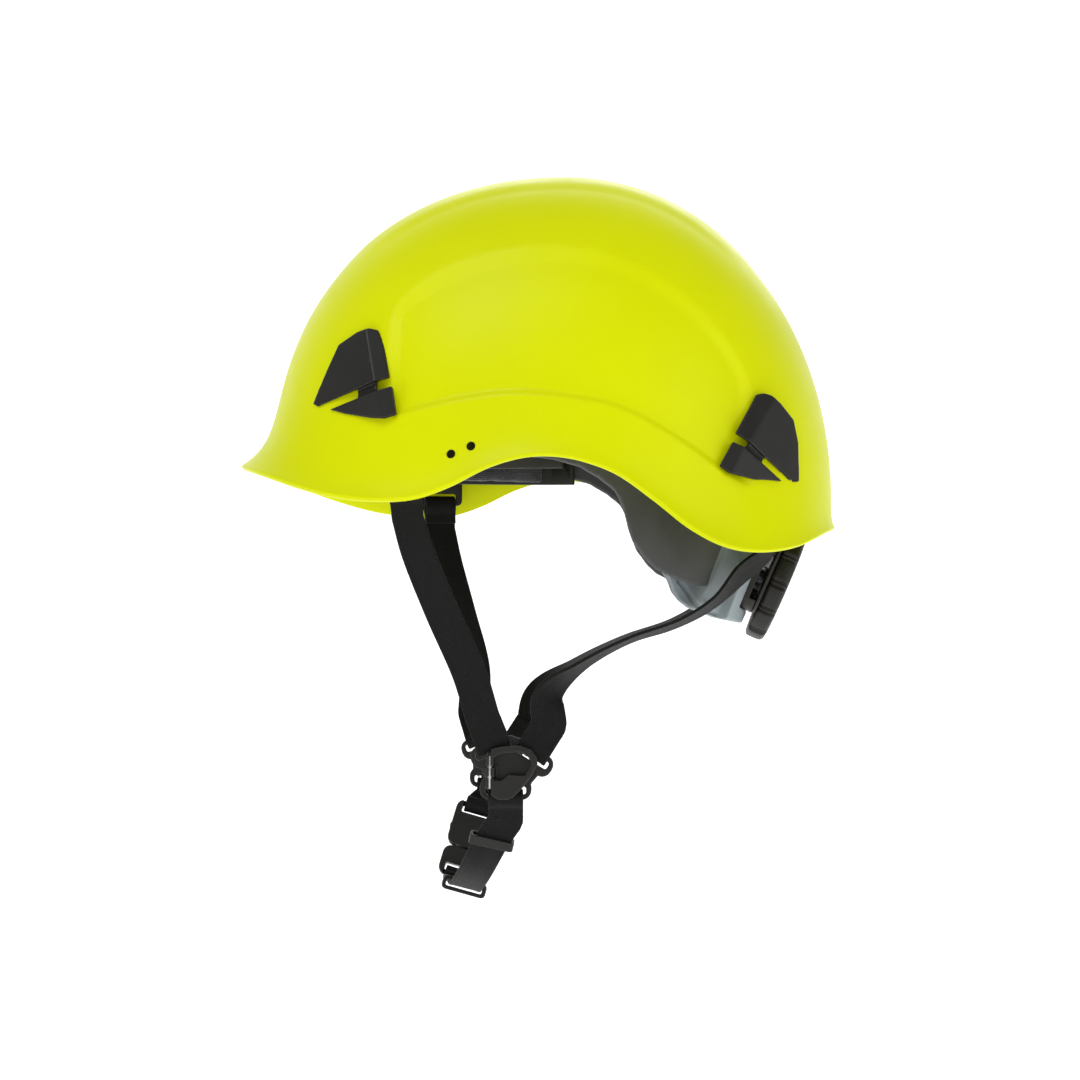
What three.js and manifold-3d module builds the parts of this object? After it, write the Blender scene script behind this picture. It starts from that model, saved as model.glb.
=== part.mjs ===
// An arborist's climbing helmet: a moulded shell with four headlamp clips, a foam impact liner, a webbing
// cradle, a headband with a ratchet at the nape, and a chin strap held at four points.
//
// Millimetres. +Z is up, -X is the front of the helmet, +Y is the wearer's right. The origin is the middle of
// the head opening, level with the lower edge of the headband.
import * as THREE from "three";
import { mergeVertices } from "three/addons/utils/BufferGeometryUtils.js";
import Module from "manifold-3d";

const wasm = await Module();
wasm.setup();

// ---------------------------------------------------------------- driving dimensions
const GAP = 0.35; // between pieces that touch
const CROWN = { x: 2.5, z: 141.3 }; // the shell's highest point
const SHELL_WALL = 3;
const PLAN_POWER = 2.2; // roundness of the shell and the headband seen from above
const WEB = { width: 16, thick: 1.5 }; // chin strap webbing
const CROWN_WEB = { width: 16, thick: 1.2 }; // cradle webbing
const BAR = 2.6; // thickness of every bar that webbing loops round
const BAND = { x: 2, front: 102, rear: 101, side: 77, low: -3.5, high: 23.5, thick: 1.8, end: 6 };
const PLATE = { x: 2, front: 105, rear: 104, side: 80, thick: 2.6 }; // side plates' outer face
const NAPE = { x: 2, front: 100, rear: 89.8, side: 76.1, thick: 2.4, lean: 0.437, level: -56 };
const KNOB = { x: 106.8, z: -56.4, tilt: 23.6, radius: 28, thick: 9.4, lobes: 12 };
const GEAR = { module: 1, teeth: 12 };

// ---------------------------------------------------------------- small helpers
const V = (x, y, z) => new THREE.Vector3(x, y, z);
const rad = THREE.MathUtils.degToRad;
const signedPower = (value, power) => Math.sign(value) * Math.abs(value) ** power;
const smooth = (low, high, value) => THREE.MathUtils.smoothstep(value, low, high);

// Height of a smooth curve through [x, height] points, at x.
function through(points, x) {
  const last = points.length - 1;
  if (x <= points[0][0]) return points[0][1];
  if (x >= points[last][0]) return points[last][1];
  const i = points.findIndex((p) => p[0] > x) - 1;
  const slope = (k) => {
    const a = points[Math.max(k - 1, 0)];
    const b = points[Math.min(k + 1, last)];
    return (b[1] - a[1]) / (b[0] - a[0]);
  };
  const step = points[i + 1][0] - points[i][0];
  const t = (x - points[i][0]) / step;
  const rise = points[i + 1][1] - points[i][1];
  return points[i][1] + t * t * (3 - 2 * t) * rise +
    step * (t * (1 - t) ** 2 * slope(i) - t * t * (1 - t) * slope(i + 1));
}

// A closed solid through rings with the same number of points, its first and last rings capped.
function loft(rings) {
  const count = rings[0].length;
  const position = rings.flat().flatMap((p) => [p.x, p.y, p.z]);
  const index = [];
  for (let r = 0; r < rings.length - 1; r++) {
    for (let i = 0; i < count; i++) {
      const a = r * count + i;
      const b = r * count + ((i + 1) % count);
      index.push(a, b, b + count, a, b + count, a + count);
    }
  }
  const end = (rings.length - 1) * count;
  for (let i = 1; i < count - 1; i++) {
    index.push(0, i + 1, i, end, end + i, end + i + 1);
  }
  return facingOut(geometryOf(position, index));
}

function geometryOf(position, index) {
  const geometry = new THREE.BufferGeometry();
  geometry.setAttribute("position", new THREE.Float32BufferAttribute(position, 3));
  geometry.setIndex(index);
  return geometry;
}

function facingOut(geometry) {
  const p = geometry.attributes.position;
  const index = geometry.index.array;
  const corner = (k) => V(p.getX(index[k]), p.getY(index[k]), p.getZ(index[k]));
  let volume = 0;
  for (let k = 0; k < index.length; k += 3) {
    volume += corner(k).dot(corner(k + 1).cross(corner(k + 2)));
  }
  if (volume < 0) {
    for (let k = 0; k < index.length; k += 3) {
      [index[k], index[k + 1]] = [index[k + 1], index[k]];
    }
  }
  return geometry;
}

// A geometry as a solid body and back again, for joining and cutting.
function solid(geometry) {
  const bare = geometry.index ? geometry.toNonIndexed() : geometry.clone();
  bare.deleteAttribute("normal");
  bare.deleteAttribute("uv");
  const merged = mergeVertices(bare, 1e-4);
  return new wasm.Manifold(new wasm.Mesh({
    numProp: 3,
    vertProperties: new Float32Array(merged.attributes.position.array),
    triVerts: new Uint32Array(merged.index.array),
  }));
}

function shape(body) {
  const mesh = body.getMesh();
  return geometryOf(Array.from(mesh.vertProperties), Array.from(mesh.triVerts));
}

const joined = (...geometries) => shape(geometries.map(solid).reduce((a, b) => a.add(b)));
const cut = (geometry, ...tools) =>
  shape(tools.map(solid).reduce((a, b) => a.subtract(b), solid(geometry)));

// The same piece on the other side of the helmet.
function mirrored(geometry) {
  const copy = geometry.clone();
  copy.scale(1, -1, 1);
  return facingOut(copy.index ? copy : mergeVertices(copy, 1e-4));
}

function box(width, depth, height, x = 0, y = 0, z = 0) {
  return new THREE.BoxGeometry(width, depth, height).translate(x, y, z);
}

// A cylinder along Y (or along Z where upright), centred at x, y, z.
function rod(radius, length, x, y, z, upright = false, sides = 16) {
  const geometry = new THREE.CylinderGeometry(radius, radius, length, sides);
  if (upright) geometry.rotateX(Math.PI / 2);
  return geometry.translate(x, y, z);
}

// An outline of [x, y] points pushed up from z = low to z = high.
function prism(outline, low, high, holes = []) {
  const profile = new THREE.Shape(outline.map(([x, y]) => new THREE.Vector2(x, y)));
  for (const hole of holes) {
    profile.holes.push(new THREE.Path(hole.map(([x, y]) => new THREE.Vector2(x, y))));
  }
  const geometry = new THREE.ExtrudeGeometry(profile, { depth: high - low, bevelEnabled: false });
  return geometry.translate(0, 0, low);
}

// An outline of [x, z] points pushed outwards along -Y from y = -near to y = -far.
function slab(outline, near, far, holes = []) {
  return prism(outline, 0, far - near, holes).rotateX(Math.PI / 2).translate(0, -near, 0);
}

// A rectangle with round corners, as [x, z] points.
function roundRect(width, height, radius, x = 0, z = 0, corner = 4) {
  const points = [];
  for (let i = 0; i < 4; i++) {
    const cx = x + (width / 2 - radius) * [1, -1, -1, 1][i];
    const cz = z + (height / 2 - radius) * [1, 1, -1, -1][i];
    for (let k = 0; k <= corner; k++) {
      const angle = (i + k / corner) * (Math.PI / 2);
      points.push([cx + radius * Math.cos(angle), cz + radius * Math.sin(angle)]);
    }
  }
  return points;
}

// ---------------------------------------------------------------- the shell's surface
// Half length or width of the dome at height z: full at the base and none at the crown.
function dome(z, reach, base, drop, round) {
  const up = THREE.MathUtils.clamp((z - base) / (CROWN.z - base), 0, 1);
  return reach * (1 - up ** drop) ** (1 / round);
}
const domeFront = (z) => dome(z, 141, -10, 2.4, 2.1);
const domeRear = (z) => dome(z, 131, -15, 2.05, 2.05);
const domeSide = (z) => dome(z, 103.5, -5, 2.3, 2.2);

// The shell's lower edge: up at the brim, down at the temples, up over the ears and down at the nape.
const RIM = [
  [-154, 2.4], [-134, -4.8], [-117, -10.7], [-100, -15.2], [-80, -17.6], [-62, -17], [-46, -12], [-28, -3.6],
  [-12, 0.9], [2, 1.6], [16, -0.6], [33, -7], [50, -18.8], [66, -31], [82, -38.8], [98, -40.8], [115, -37.9],
  [131, -30.2], [135.5, -28.2],
];

// The raised lines on the side of the shell: the arch above the side panel and the ledge below it.
const ARCH = [
  [-80, 40], [-76, 60.3], [-69.3, 74.4], [-50.7, 88.1], [-22.9, 97], [4.7, 99.1], [32.3, 93.7], [59.7, 77.9],
  [77.9, 59.5], [89.4, 41.3], [94.9, 29.9], [98, 12],
];
const LEDGE = [
  [-80, 17], [-69, 20.1], [-44.3, 25.8], [-16.9, 29], [5.6, 27.5], [32.5, 22.1], [59.4, 8], [78.5, -5.2], [98, -16],
];
const PANEL = { depth: 1.8, front: -74, rear: 94 };
const SPINE = { rise: 1.1, halfWidth: 42 };

// How far the side panel is sunk (negative) or the spine is raised at a point of the dome.
function relief(x, y, z) {
  const below = smooth(-1, 9, through(ARCH, x) - z);
  const above = smooth(-0.6, 2.2, z - through(LEDGE, x));
  const ends = smooth(PANEL.front, PANEL.front + 5, x) * (1 - smooth(PANEL.rear - 8, PANEL.rear, x));
  const crest = (1 - smooth(SPINE.halfWidth - 5, SPINE.halfWidth + 5, Math.abs(y))) * smooth(88, 118, z);
  return SPINE.rise * crest - PANEL.depth * below * above * ends;
}

// A point of the shell's smooth outside. turn is 0 at the brim and PI at the back, with +Y at PI / 2;
// down is 0 at the crown and 1 at the rim.
function domePoint(turn, down) {
  const c = Math.cos(turn);
  const s = Math.sin(turn);
  const along = signedPower(c, 2 / PLAN_POWER);
  const across = signedPower(s, 2 / PLAN_POWER);
  const front = (1 + c) / 2;
  const reach = (z) => domeRear(z) + (domeFront(z) - domeRear(z)) * front;
  const flare = c > 0 ? 15.5 * c * c + 4.5 * s * s : 1.6 * c * c + 4.5 * s * s;
  const flareHeight = c > 0 ? 9.5 : 2.6 * c * c + 9.5 * s * s;
  const rim = through(RIM, CROWN.x - along * (reach(-20) + flare));
  const z = rim + (CROWN.z - rim) * Math.cos((down * Math.PI) / 2);
  const out = V(-c / reach(-20), s / 103.5, 0).normalize();
  const push = flare * Math.exp(-(z - rim) / flareHeight);
  return V(CROWN.x - along * reach(z), across * domeSide(z), z).addScaledVector(out, push);
}

function domeNormal(turn, down) {
  const step = 0.004;
  const d = Math.max(down, 0.02);
  const round = domePoint(turn + step, d).sub(domePoint(turn - step, d));
  const fall = domePoint(turn, d + step).sub(domePoint(turn, d - step));
  return down < 0.02 ? V(0, 0, 1) : round.cross(fall).normalize();
}

// A point of the shell with its relief, that far in from the outside.
function shellPoint(turn, down, inset = 0) {
  const p = domePoint(turn, down);
  const lift = relief(p.x, p.y, p.z) - inset;
  return p.addScaledVector(domeNormal(turn, down), lift);
}

// The value of down at a height, so that a piece inside the shell can end level.
function downAt(turn, z) {
  const rim = domePoint(turn, 1).z;
  return (Math.acos((z - rim) / (CROWN.z - rim)) * 2) / Math.PI;
}

// The turn at which the wall reaches x at height z, and the shell's half width there.
function turnAt(x, z) {
  let low = 0.02;
  let high = Math.PI - 0.02;
  for (let i = 0; i < 30; i++) {
    const turn = (low + high) / 2;
    if (domePoint(turn, downAt(turn, z)).x < x) low = turn;
    else high = turn;
  }
  return low;
}
const wallY = (x, z) => domePoint(turnAt(x, z), downAt(turnAt(x, z), z)).y;

// Rows crowd together towards the rim, where the wall curls outwards.
const SHELL_GRID = { turns: 54, rows: 17 };
const crowded = (share) => 1 - (1 - share) ** 1.6;

// A dome-shaped solid between two insets. ends gives the last value of down at each turn.
function domeSolid(turns, rows, outside, inside, ends) {
  const position = [];
  const index = [];
  const at = (layer, row, i) => layer * (1 + rows * turns) + (row === 0 ? 0 : 1 + (row - 1) * turns + (i % turns));
  [outside, inside].forEach((inset) => {
    for (let row = 0; row <= rows; row++) {
      for (let i = 0; i < (row === 0 ? 1 : turns); i++) {
        const turn = (i / turns) * 2 * Math.PI;
        const p = inset(turn, crowded(row / rows) * ends(turn));
        position.push(p.x, p.y, p.z);
      }
    }
  });
  for (let row = 0; row < rows; row++) {
    for (let i = 0; i < turns; i++) {
      [0, 1].forEach((layer) => {
        const [a, b] = [at(layer, row, i), at(layer, row, i + 1)];
        const [c, d] = [at(layer, row + 1, i), at(layer, row + 1, i + 1)];
        const split = i < turns / 2 ? [a, c, d, a, d, b] : [a, c, b, b, c, d]; // the same on both sides of Y = 0
        const faces = row === 0 ? [a, c, d] : split;
        index.push(...(layer ? faces.reverse() : faces));
      });
    }
  }
  for (let i = 0; i < turns; i++) {
    const [a, b, c, d] = [at(0, rows, i), at(0, rows, i + 1), at(1, rows, i), at(1, rows, i + 1)];
    index.push(a, c, d, a, d, b);
  }
  return facingOut(geometryOf(position, index));
}

// Everything inside the shell's outside, a little larger, for trimming what lies on the shell.
function shellFilled(grow) {
  const hollow = (turn, down) => shellPoint(turn, down).multiplyScalar(0.2);
  return domeSolid(SHELL_GRID.turns, SHELL_GRID.rows, (t, d) => shellPoint(t, d, -grow), hollow, () => 1);
}

// ---------------------------------------------------------------- webbing
// A flat band along points. Each point has a normal that says which way its flat face looks.
function ribbon(points, normals, width, thick) {
  return loft(points.map((p, i) => {
    const along = points[Math.min(i + 1, points.length - 1)].clone().sub(points[Math.max(i - 1, 0)]).normalize();
    const side = along.clone().cross(normals[i]).normalize().multiplyScalar(width / 2);
    const out = side.clone().cross(along).normalize().multiplyScalar(thick / 2);
    return [
      p.clone().add(side).add(out), p.clone().sub(side).add(out),
      p.clone().sub(side).sub(out), p.clone().add(side).sub(out),
    ];
  }));
}

// The turn of webbing round a bar: up the far side of the bar, over it, and back to lie on its own sewn end.
// away points from the bar along the strap and normal is the strap's outer face.
function loopRound(bar, away, normal, tail, thick) {
  const r = BAR / Math.SQRT2 + 1.5 * GAP + thick / 2;
  const leg = Math.max(tail * 0.25, BAR / 2 + 0.8);
  const put = (along, out) => bar.clone().addScaledVector(away, along).addScaledVector(normal, out);
  const points = [put(tail, -thick * 0.6), put(Math.max(tail * 0.6, leg + 1), -thick * 0.9), put(leg, -r)];
  const normals = [normal, normal, normal].map((n) => n.clone().negate());
  for (let k = 0; k <= 6; k++) {
    const angle = (k / 6) * Math.PI;
    points.push(put(-r * Math.sin(angle), -r * Math.cos(angle)));
    normals.push(normal.clone().multiplyScalar(-Math.cos(angle)).addScaledVector(away, -Math.sin(angle)));
  }
  points.push(put(leg, r), put(Math.max(tail * 0.6, leg + 1), thick * 0.9), put(tail, thick * 0.6));
  normals.push(normal.clone(), normal.clone(), normal.clone());
  return { points, normals };
}

// Points and normals along a smooth curve through controls, each [x, y, z, normal x, y, z]. from and to are
// shares of the way along it.
function smoothRun(controls, steps, from = 0, to = 1) {
  const centre = new THREE.CatmullRomCurve3(controls.map((c) => V(c[0], c[1], c[2])));
  const facing = new THREE.CatmullRomCurve3(controls.map((c) => V(c[3], c[4], c[5])));
  const share = [...Array(steps + 1).keys()].map((i) => from + ((to - from) * i) / steps);
  return { points: share.map((t) => centre.getPoint(t)), normals: share.map((t) => facing.getPoint(t).normalize()) };
}

function chained(...parts) {
  return { points: parts.flatMap((p) => p.points), normals: parts.flatMap((p) => p.normals) };
}

// ---------------------------------------------------------------- materials
const finish = (color, roughness, metalness = 0) => new THREE.MeshStandardMaterial({ color, roughness, metalness });
const YELLOW = finish(0xd4de00, 0.3);
const BLACK = finish(0x2b2b29, 0.55);
const WEBBING = finish(0x232323, 0.9);
const SLATE = finish(0x4c4c4b, 0.6);
const GREY = finish(0x969fa2, 0.6);
const FOAM = finish(0x333436, 0.95);
const STEEL = finish(0xb8babd, 0.3, 1);

const helmet = new THREE.Group();
function add(name, geometry, material, parent = helmet) {
  const mesh = new THREE.Mesh(geometry, material);
  mesh.name = name;
  parent.add(mesh);
  return mesh;
}
function addPair(name, geometry, material) {
  add(name + "_left", geometry, material);
  add(name + "_right", mirrored(geometry), material);
}

// ---------------------------------------------------------------- headlamp clips
// Removes what lies beyond the plane through a, b and c, on the side away from the shell's middle.
function trimmed(body, [a, b, c]) {
  const size = 160;
  const normal = b.clone().sub(a).cross(c.clone().sub(a)).normalize();
  if (normal.dot(a) < 0) normal.negate();
  const turned = new THREE.Quaternion().setFromUnitVectors(V(0, 0, 1), normal);
  const block = new THREE.BoxGeometry(size, size, size).applyQuaternion(turned);
  block.translate(...a.clone().addScaledVector(normal, size / 2).toArray());
  return body.subtract(solid(block));
}

// Each clip is a hook and a wedge with a slot between them, joined by a core whose stem goes through the shell.
// hook, wedge and core are outlines seen from the side; the planes give the facets of their outer faces.
const CLIPS = {
  front: {
    hook: [[-111.5, 27.5], [-108.6, 34.5], [-104.6, 43.3], [-98.9, 54.9], [-89.4, 59.9], [-83.4, 61.3], [-79.2, 60.4],
      [-76.6, 56.5], [-72.7, 37.4], [-78.5, 35.9], [-108.6, 25.9]],
    wedge: [[-102.5, 24.2], [-78.4, 31.4], [-71.2, 33.2], [-69, 20.1], [-74.8, 18.5], [-81.1, 19], [-94.5, 21.6]],
    hookFacets: [
      [V(-112, -63.5, 27.5), V(-84.5, -80.5, 58.5), V(-79.8, -91, 36.3)],
      [V(-84.5, -80.5, 58.5), V(-79.8, -91, 36.3), V(-72.7, -89, 37.4)],
    ],
    wedgeFacets: [
      [V(-102.5, -73, 24.2), V(-77.9, -92.5, 31.1), V(-77.2, -91.5, 19.1)],
      [V(-77.9, -92.5, 31.1), V(-77.2, -91.5, 19.1), V(-69, -92.6, 20.1)],
    ],
    stem: V(-83.5, 0, 31.6),
    core: [[-88.1, 34], [-78.5, 37.5], [-78.5, 29.8], [-88.1, 26.8]],
  },
  rear: {
    hook: [[94.4, 29.9], [98, 30.6], [101.5, 29.6], [105.8, 26.1], [112.1, 19.1], [114.4, 9], [115, -9.3], [111, -10],
      [90.9, 7.5], [84.5, 11.6]],
    wedge: [[83.3, 7.7], [88.6, 5.3], [106.6, -9.5], [93.7, -9.3], [82.1, -6.9], [77.1, -3.6]],
    hookFacets: [
      [V(115, -60.5, -9.3), V(103.4, -78, 28.2), V(90.9, -89, 7.5)],
      [V(103.4, -78, 28.2), V(90.9, -89, 7.5), V(84.5, -88.5, 11.4)],
    ],
    wedgeFacets: [
      [V(107.4, -70.5, -9.7), V(89.1, -89.5, 5.6), V(83.5, -90.5, -6.4)],
      [V(89.1, -89.5, 5.6), V(83.5, -90.5, -6.4), V(77.1, -91, -3.4)],
    ],
    stem: V(94.5, 0, 1),
    core: [[92, 9.4], [99.6, 2.8], [94.8, -3.6], [87.2, 2.6]],
  },
};

// Where a clip's stem goes through the shell, and the way out of the shell there.
function stemLine(clip) {
  const y = -wallY(clip.stem.x, clip.stem.z);
  const step = 2;
  const slopeX = (wallY(clip.stem.x + step, clip.stem.z) - wallY(clip.stem.x - step, clip.stem.z)) / (2 * step);
  const slopeZ = (wallY(clip.stem.x, clip.stem.z + step) - wallY(clip.stem.x, clip.stem.z - step)) / (2 * step);
  return { at: V(clip.stem.x, y, clip.stem.z), out: V(-slopeX, -1, -slopeZ).normalize() };
}

const STEM = { radius: 2.6, inside: 7.5 };
const CORE_SUNK = 3; // how far the core lies below the hook's facets
// Turns a piece modelled along +Z so that it runs along the stem, z = 0 being the shell's outside.
function onStem(clip, geometry) {
  const { at, out } = stemLine(clip);
  return geometry.applyQuaternion(new THREE.Quaternion().setFromUnitVectors(V(0, 0, 1), out)).translate(at.x, at.y, at.z);
}

function clipGeometry(clip, around) {
  const faceted = (outline, facets) => {
    const block = solid(slab(outline, 45, 105)).subtract(around);
    return facets.reduce(trimmed, block);
  };
  const sunk = clip.hookFacets.map((facet) => facet.map((p) => p.clone().add(V(0, CORE_SUNK, 0))));
  const coreBody = faceted(clip.core, sunk);
  const stem = solid(onStem(clip, rod(STEM.radius, STEM.inside + 2, 0, 0, 1 - STEM.inside / 2, true)));
  const whole = faceted(clip.hook, clip.hookFacets).add(faceted(clip.wedge, clip.wedgeFacets)).add(coreBody).add(stem);
  return shape(whole.decompose().sort((a, b) => b.volume() - a.volume())[0]);
}

function retainerGeometry(clip) {
  const profile = [[STEM.radius + GAP, -1], [5, -1], [5, 1], [STEM.radius + GAP, 1], [STEM.radius + GAP, -1]];
  const ring = new THREE.LatheGeometry(profile.map(([r, y]) => new THREE.Vector2(r, y)), 20).rotateX(Math.PI / 2);
  return onStem(clip, ring.translate(0, 0, -SHELL_WALL - 2.4));
}

// ---------------------------------------------------------------- shell
const HOLES = [[-43.7, 1.8], [-34.5, 5.2]]; // for a visor, on each side
const HOLE_RADIUS = 2.1;

function shellGeometry() {
  const outer = (turn, down) => shellPoint(turn, down);
  const inner = (turn, down) => shellPoint(turn, down, SHELL_WALL);
  const body = domeSolid(SHELL_GRID.turns, SHELL_GRID.rows, outer, inner, () => 1);
  const tools = HOLES.map(([x, z]) => rod(HOLE_RADIUS, 260, x, 0, z));
  Object.values(CLIPS).forEach((clip) => {
    const bore = onStem(clip, rod(STEM.radius + GAP, 24, 0, 0, 0, true));
    tools.push(bore, mirrored(bore));
  });
  return cut(body, ...tools);
}

add("shell", shellGeometry(), YELLOW);
const aroundShell = solid(shellFilled(GAP + 0.1));
Object.entries(CLIPS).forEach(([place, clip]) => {
  addPair("lamp_clip_" + place, clipGeometry(clip, aroundShell), BLACK);
  addPair("clip_retainer_" + place, retainerGeometry(clip), STEEL);
});

// ---------------------------------------------------------------- impact liner and cradle webbing
const LINER = { outside: SHELL_WALL + 0.9, thick: 13, bottom: 46 };
const LINER_INSIDE = LINER.outside + LINER.thick;

// A point that far in from the shell's smooth outside.
const within = (turn, down, inset) => domePoint(turn, down).addScaledVector(domeNormal(turn, down), -inset);

add("impact_liner", domeSolid(
  36, 8,
  (t, d) => within(t, d, LINER.outside + PANEL.depth * smooth(0.1, 0.3, d)),
  (t, d) => within(t, d, LINER_INSIDE),
  (t) => downAt(t, LINER.bottom),
), FOAM);

// A plate with a bar for webbing along one edge, facing -Y, the bar's middle at the origin.
const EYE = { slot: 3.6, rim: 3 };
function eyePlate(webWidth, height, thick) {
  const width = webWidth + 2 + 2 * EYE.rim;
  const slot = roundRect(webWidth + 2, EYE.slot, 1.2, 0, BAR / 2 + EYE.slot / 2, 2);
  return slab(roundRect(width, height, BAR, 0, height / 2 - BAR / 2, 3), -thick / 2, thick / 2, [slot]);
}

// Turns a piece that faces -Y so that it faces along out (which is level), and moves it to a point.
const faced = (geometry, at, out) => geometry.rotateZ(Math.atan2(out.x, -out.y)).translate(at.x, at.y, at.z);

// A place on the inside of the shell's wall: the point at that inset, and the level way out there.
function wallPlace(turn, z, inset) {
  const p = domePoint(turn, downAt(turn, z));
  const n = domeNormal(turn, downAt(turn, z));
  const out = V(n.x, n.y, 0).normalize();
  return { at: p.addScaledVector(out, -inset), out };
}

// Hangers hold the ends of the cradle webbing near the shell's wall and carry the headband on an arm.
const HANGERS = { front: 38, side: 81, rear: 138 }; // degrees round from the front
const HANGER = { z: 27, height: 22, thick: 2.6, inset: SHELL_WALL + PANEL.depth + 4.4, arm: 2.4 };

function hangerGeometry(degrees) {
  const { at, out } = wallPlace(rad(degrees), HANGER.z, HANGER.inset);
  const plate = eyePlate(CROWN_WEB.width, HANGER.height, HANGER.thick).rotateY(Math.PI);
  const reach = bandDistance(at, out, degrees) - 3 * GAP;
  const arm = box(8, reach, HANGER.arm, 0, reach / 2, BAR / 2 - HANGER.height + HANGER.arm / 2 + 1);
  return faced(joined(plate, arm), at, out);
}

// How far a hanger's middle is from the headband or, behind it, from the side plates' outer face.
function bandDistance(at, out, degrees) {
  const ring = Math.abs(degrees) > 100 ? PLATE : BAND;
  const steps = [...Array(600).keys()].map((i) => i * 0.1);
  return steps.find((step) => {
    const p = at.clone().addScaledVector(out, -step);
    const along = (p.x - ring.x) / (p.x < ring.x ? ring.front : ring.rear);
    return Math.abs(along) ** PLAN_POWER + Math.abs(p.y / ring.side) ** PLAN_POWER <= 1;
  });
}

// A cradle strap from one hanger over the crown to another; layer keeps crossing straps apart.
function cradleStrap(from, to, layer) {
  const inset = LINER_INSIDE + 3 + layer;
  const end = (degrees) => {
    const { at, out } = wallPlace(rad(degrees), HANGER.z, HANGER.inset);
    return loopRound(at, V(0, 0, 1), out.clone().negate(), 12, CROWN_WEB.thick);
  };
  const side = (degrees) => [1.07, 0.93, 0.78, 0.62, 0.47, 0.32, 0.2, 0.1].map((share) => {
    const down = downAt(rad(degrees), LINER.bottom) * share;
    return { p: within(rad(degrees), down, inset), n: domeNormal(rad(degrees), down).negate() };
  });
  const first = end(from);
  const second = end(to);
  const arch = [...side(from), { p: V(CROWN.x, 0, CROWN.z - inset), n: V(0, 0, -1) }, ...side(to).reverse()];
  return ribbon(
    [...first.points, ...arch.map((a) => a.p), ...second.points.reverse()],
    [...first.normals, ...arch.map((a) => a.n), ...second.normals.reverse()],
    CROWN_WEB.width, CROWN_WEB.thick,
  );
}

Object.entries(HANGERS).forEach(([place, degrees]) => {
  add("hanger_" + place + "_right", hangerGeometry(degrees), BLACK);
  add("hanger_" + place + "_left", hangerGeometry(-degrees), BLACK);
});
add("cradle_strap_side", cradleStrap(HANGERS.side, -HANGERS.side, 0), WEBBING);
add("cradle_strap_from_right", cradleStrap(HANGERS.front, -HANGERS.rear, 2.4), WEBBING);
add("cradle_strap_from_left", cradleStrap(-HANGERS.front, HANGERS.rear, 4.8), WEBBING);

// ---------------------------------------------------------------- headband and side plates
// A point of an upright oval wall such as BAND, that far in from its outer face.
function ovalPoint(oval, turn, z, inset = 0) {
  const c = Math.cos(turn);
  const rear = oval.rear + (oval.lean ?? 0) * (z - (oval.level ?? 0));
  const reach = (c > 0 ? oval.front : rear) - inset;
  return V(
    oval.x - signedPower(c, 2 / PLAN_POWER) * reach,
    signedPower(Math.sin(turn), 2 / PLAN_POWER) * (oval.side - inset),
    z,
  );
}

// An upright wall along an oval between two turns (in degrees) and two heights.
function ovalWall(oval, from, to, low, high, outside, inside, steps) {
  return loft([...Array(steps + 1).keys()].map((i) => {
    const turn = rad(from + ((to - from) * i) / steps);
    return [
      ovalPoint(oval, turn, high, outside), ovalPoint(oval, turn, high, inside),
      ovalPoint(oval, turn, low, inside), ovalPoint(oval, turn, low, outside),
    ];
  }));
}

const RIVET = { x: -3, z: 9, radius: 2, head: 4.5, headThick: 1.2 };
function headbandGeometry() {
  const wall = ovalWall(BAND, -100, 100, BAND.low, BAND.high, 0, BAND.thick, 44);
  const behind = box(60, 220, 60, BAND.end + 30, 0, 10);
  return cut(wall, behind, rod(RIVET.radius + GAP, 220, RIVET.x, 0, RIVET.z));
}
add("headband", headbandGeometry(), BLACK);

const SWEATBAND = { turn: 84, low: -2.6, high: 24.5, thick: 4.5 };
add("sweatband", ovalWall(
  BAND, -SWEATBAND.turn, SWEATBAND.turn, SWEATBAND.low, SWEATBAND.high,
  BAND.thick + GAP, BAND.thick + GAP + SWEATBAND.thick, 30,
), FOAM);

// The side plates hang from the headband's ends and reach down behind the ears.
const PLATE_EDGE = [
  [-9, 1.5], [2, 0.2], [13.6, -3.1], [22.8, -8.6], [29.7, -14.2], [33.4, -21.6], [35.8, -31.7], [37.9, -37.6],
  [43.7, -45.5], [48.4, -49.9], [54.3, -52.9], [61.3, -55.8], [68.3, -57.5], [72.4, -57.5], [74.2, -51.7],
  [79.5, -38.2], [80.5, -26], [76, -15], [64, -6], [46, 3], [26, 11], [8, 16], [-9, 17],
];
function sidePlateGeometry() {
  const wall = ovalWall(PLATE, -170, -60, -70, 30, 0, PLATE.thick, 36);
  const outline = slab(PLATE_EDGE, 20, 120);
  const body = solid(wall).intersect(solid(outline));
  return shape(body.subtract(solid(rod(RIVET.radius + GAP, 220, RIVET.x, 0, RIVET.z))));
}
addPair("side_plate", sidePlateGeometry(), SLATE);

// A rivet's head lies on the side plate and its foot inside the headband.
function rivetGeometry() {
  const outer = -PLATE.side - GAP;
  const inner = -BAND.side + BAND.thick + GAP;
  const shank = rod(RIVET.radius, inner - outer + 1, RIVET.x, (outer + inner) / 2, RIVET.z);
  const head = rod(RIVET.head, RIVET.headThick, RIVET.x, outer - RIVET.headThick / 2, RIVET.z);
  const foot = rod(RIVET.head - 1, 1, RIVET.x, inner + 0.5, RIVET.z);
  return joined(shank, head, foot);
}
addPair("plate_rivet", rivetGeometry(), STEEL);

// ---------------------------------------------------------------- nape cradle and ratchet
// The ratchet is modelled facing +Z with +Y across the nape, then turned to lean with the cradle.
function onNape(geometry) {
  return geometry.rotateY(rad(90 + KNOB.tilt)).translate(KNOB.x, 0, KNOB.z);
}
const HOUSING = { width: 62, height: 34, floor: -13.4, lid: -6.6, top: -5, pocket: 22.8 };
const RACK = { thick: 2.6 };
const RACK_BOTTOM = -10;
const PINION = { radius: (GEAR.module * GEAR.teeth) / 2, addendum: 0.75, dedendum: 1.1 };

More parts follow.
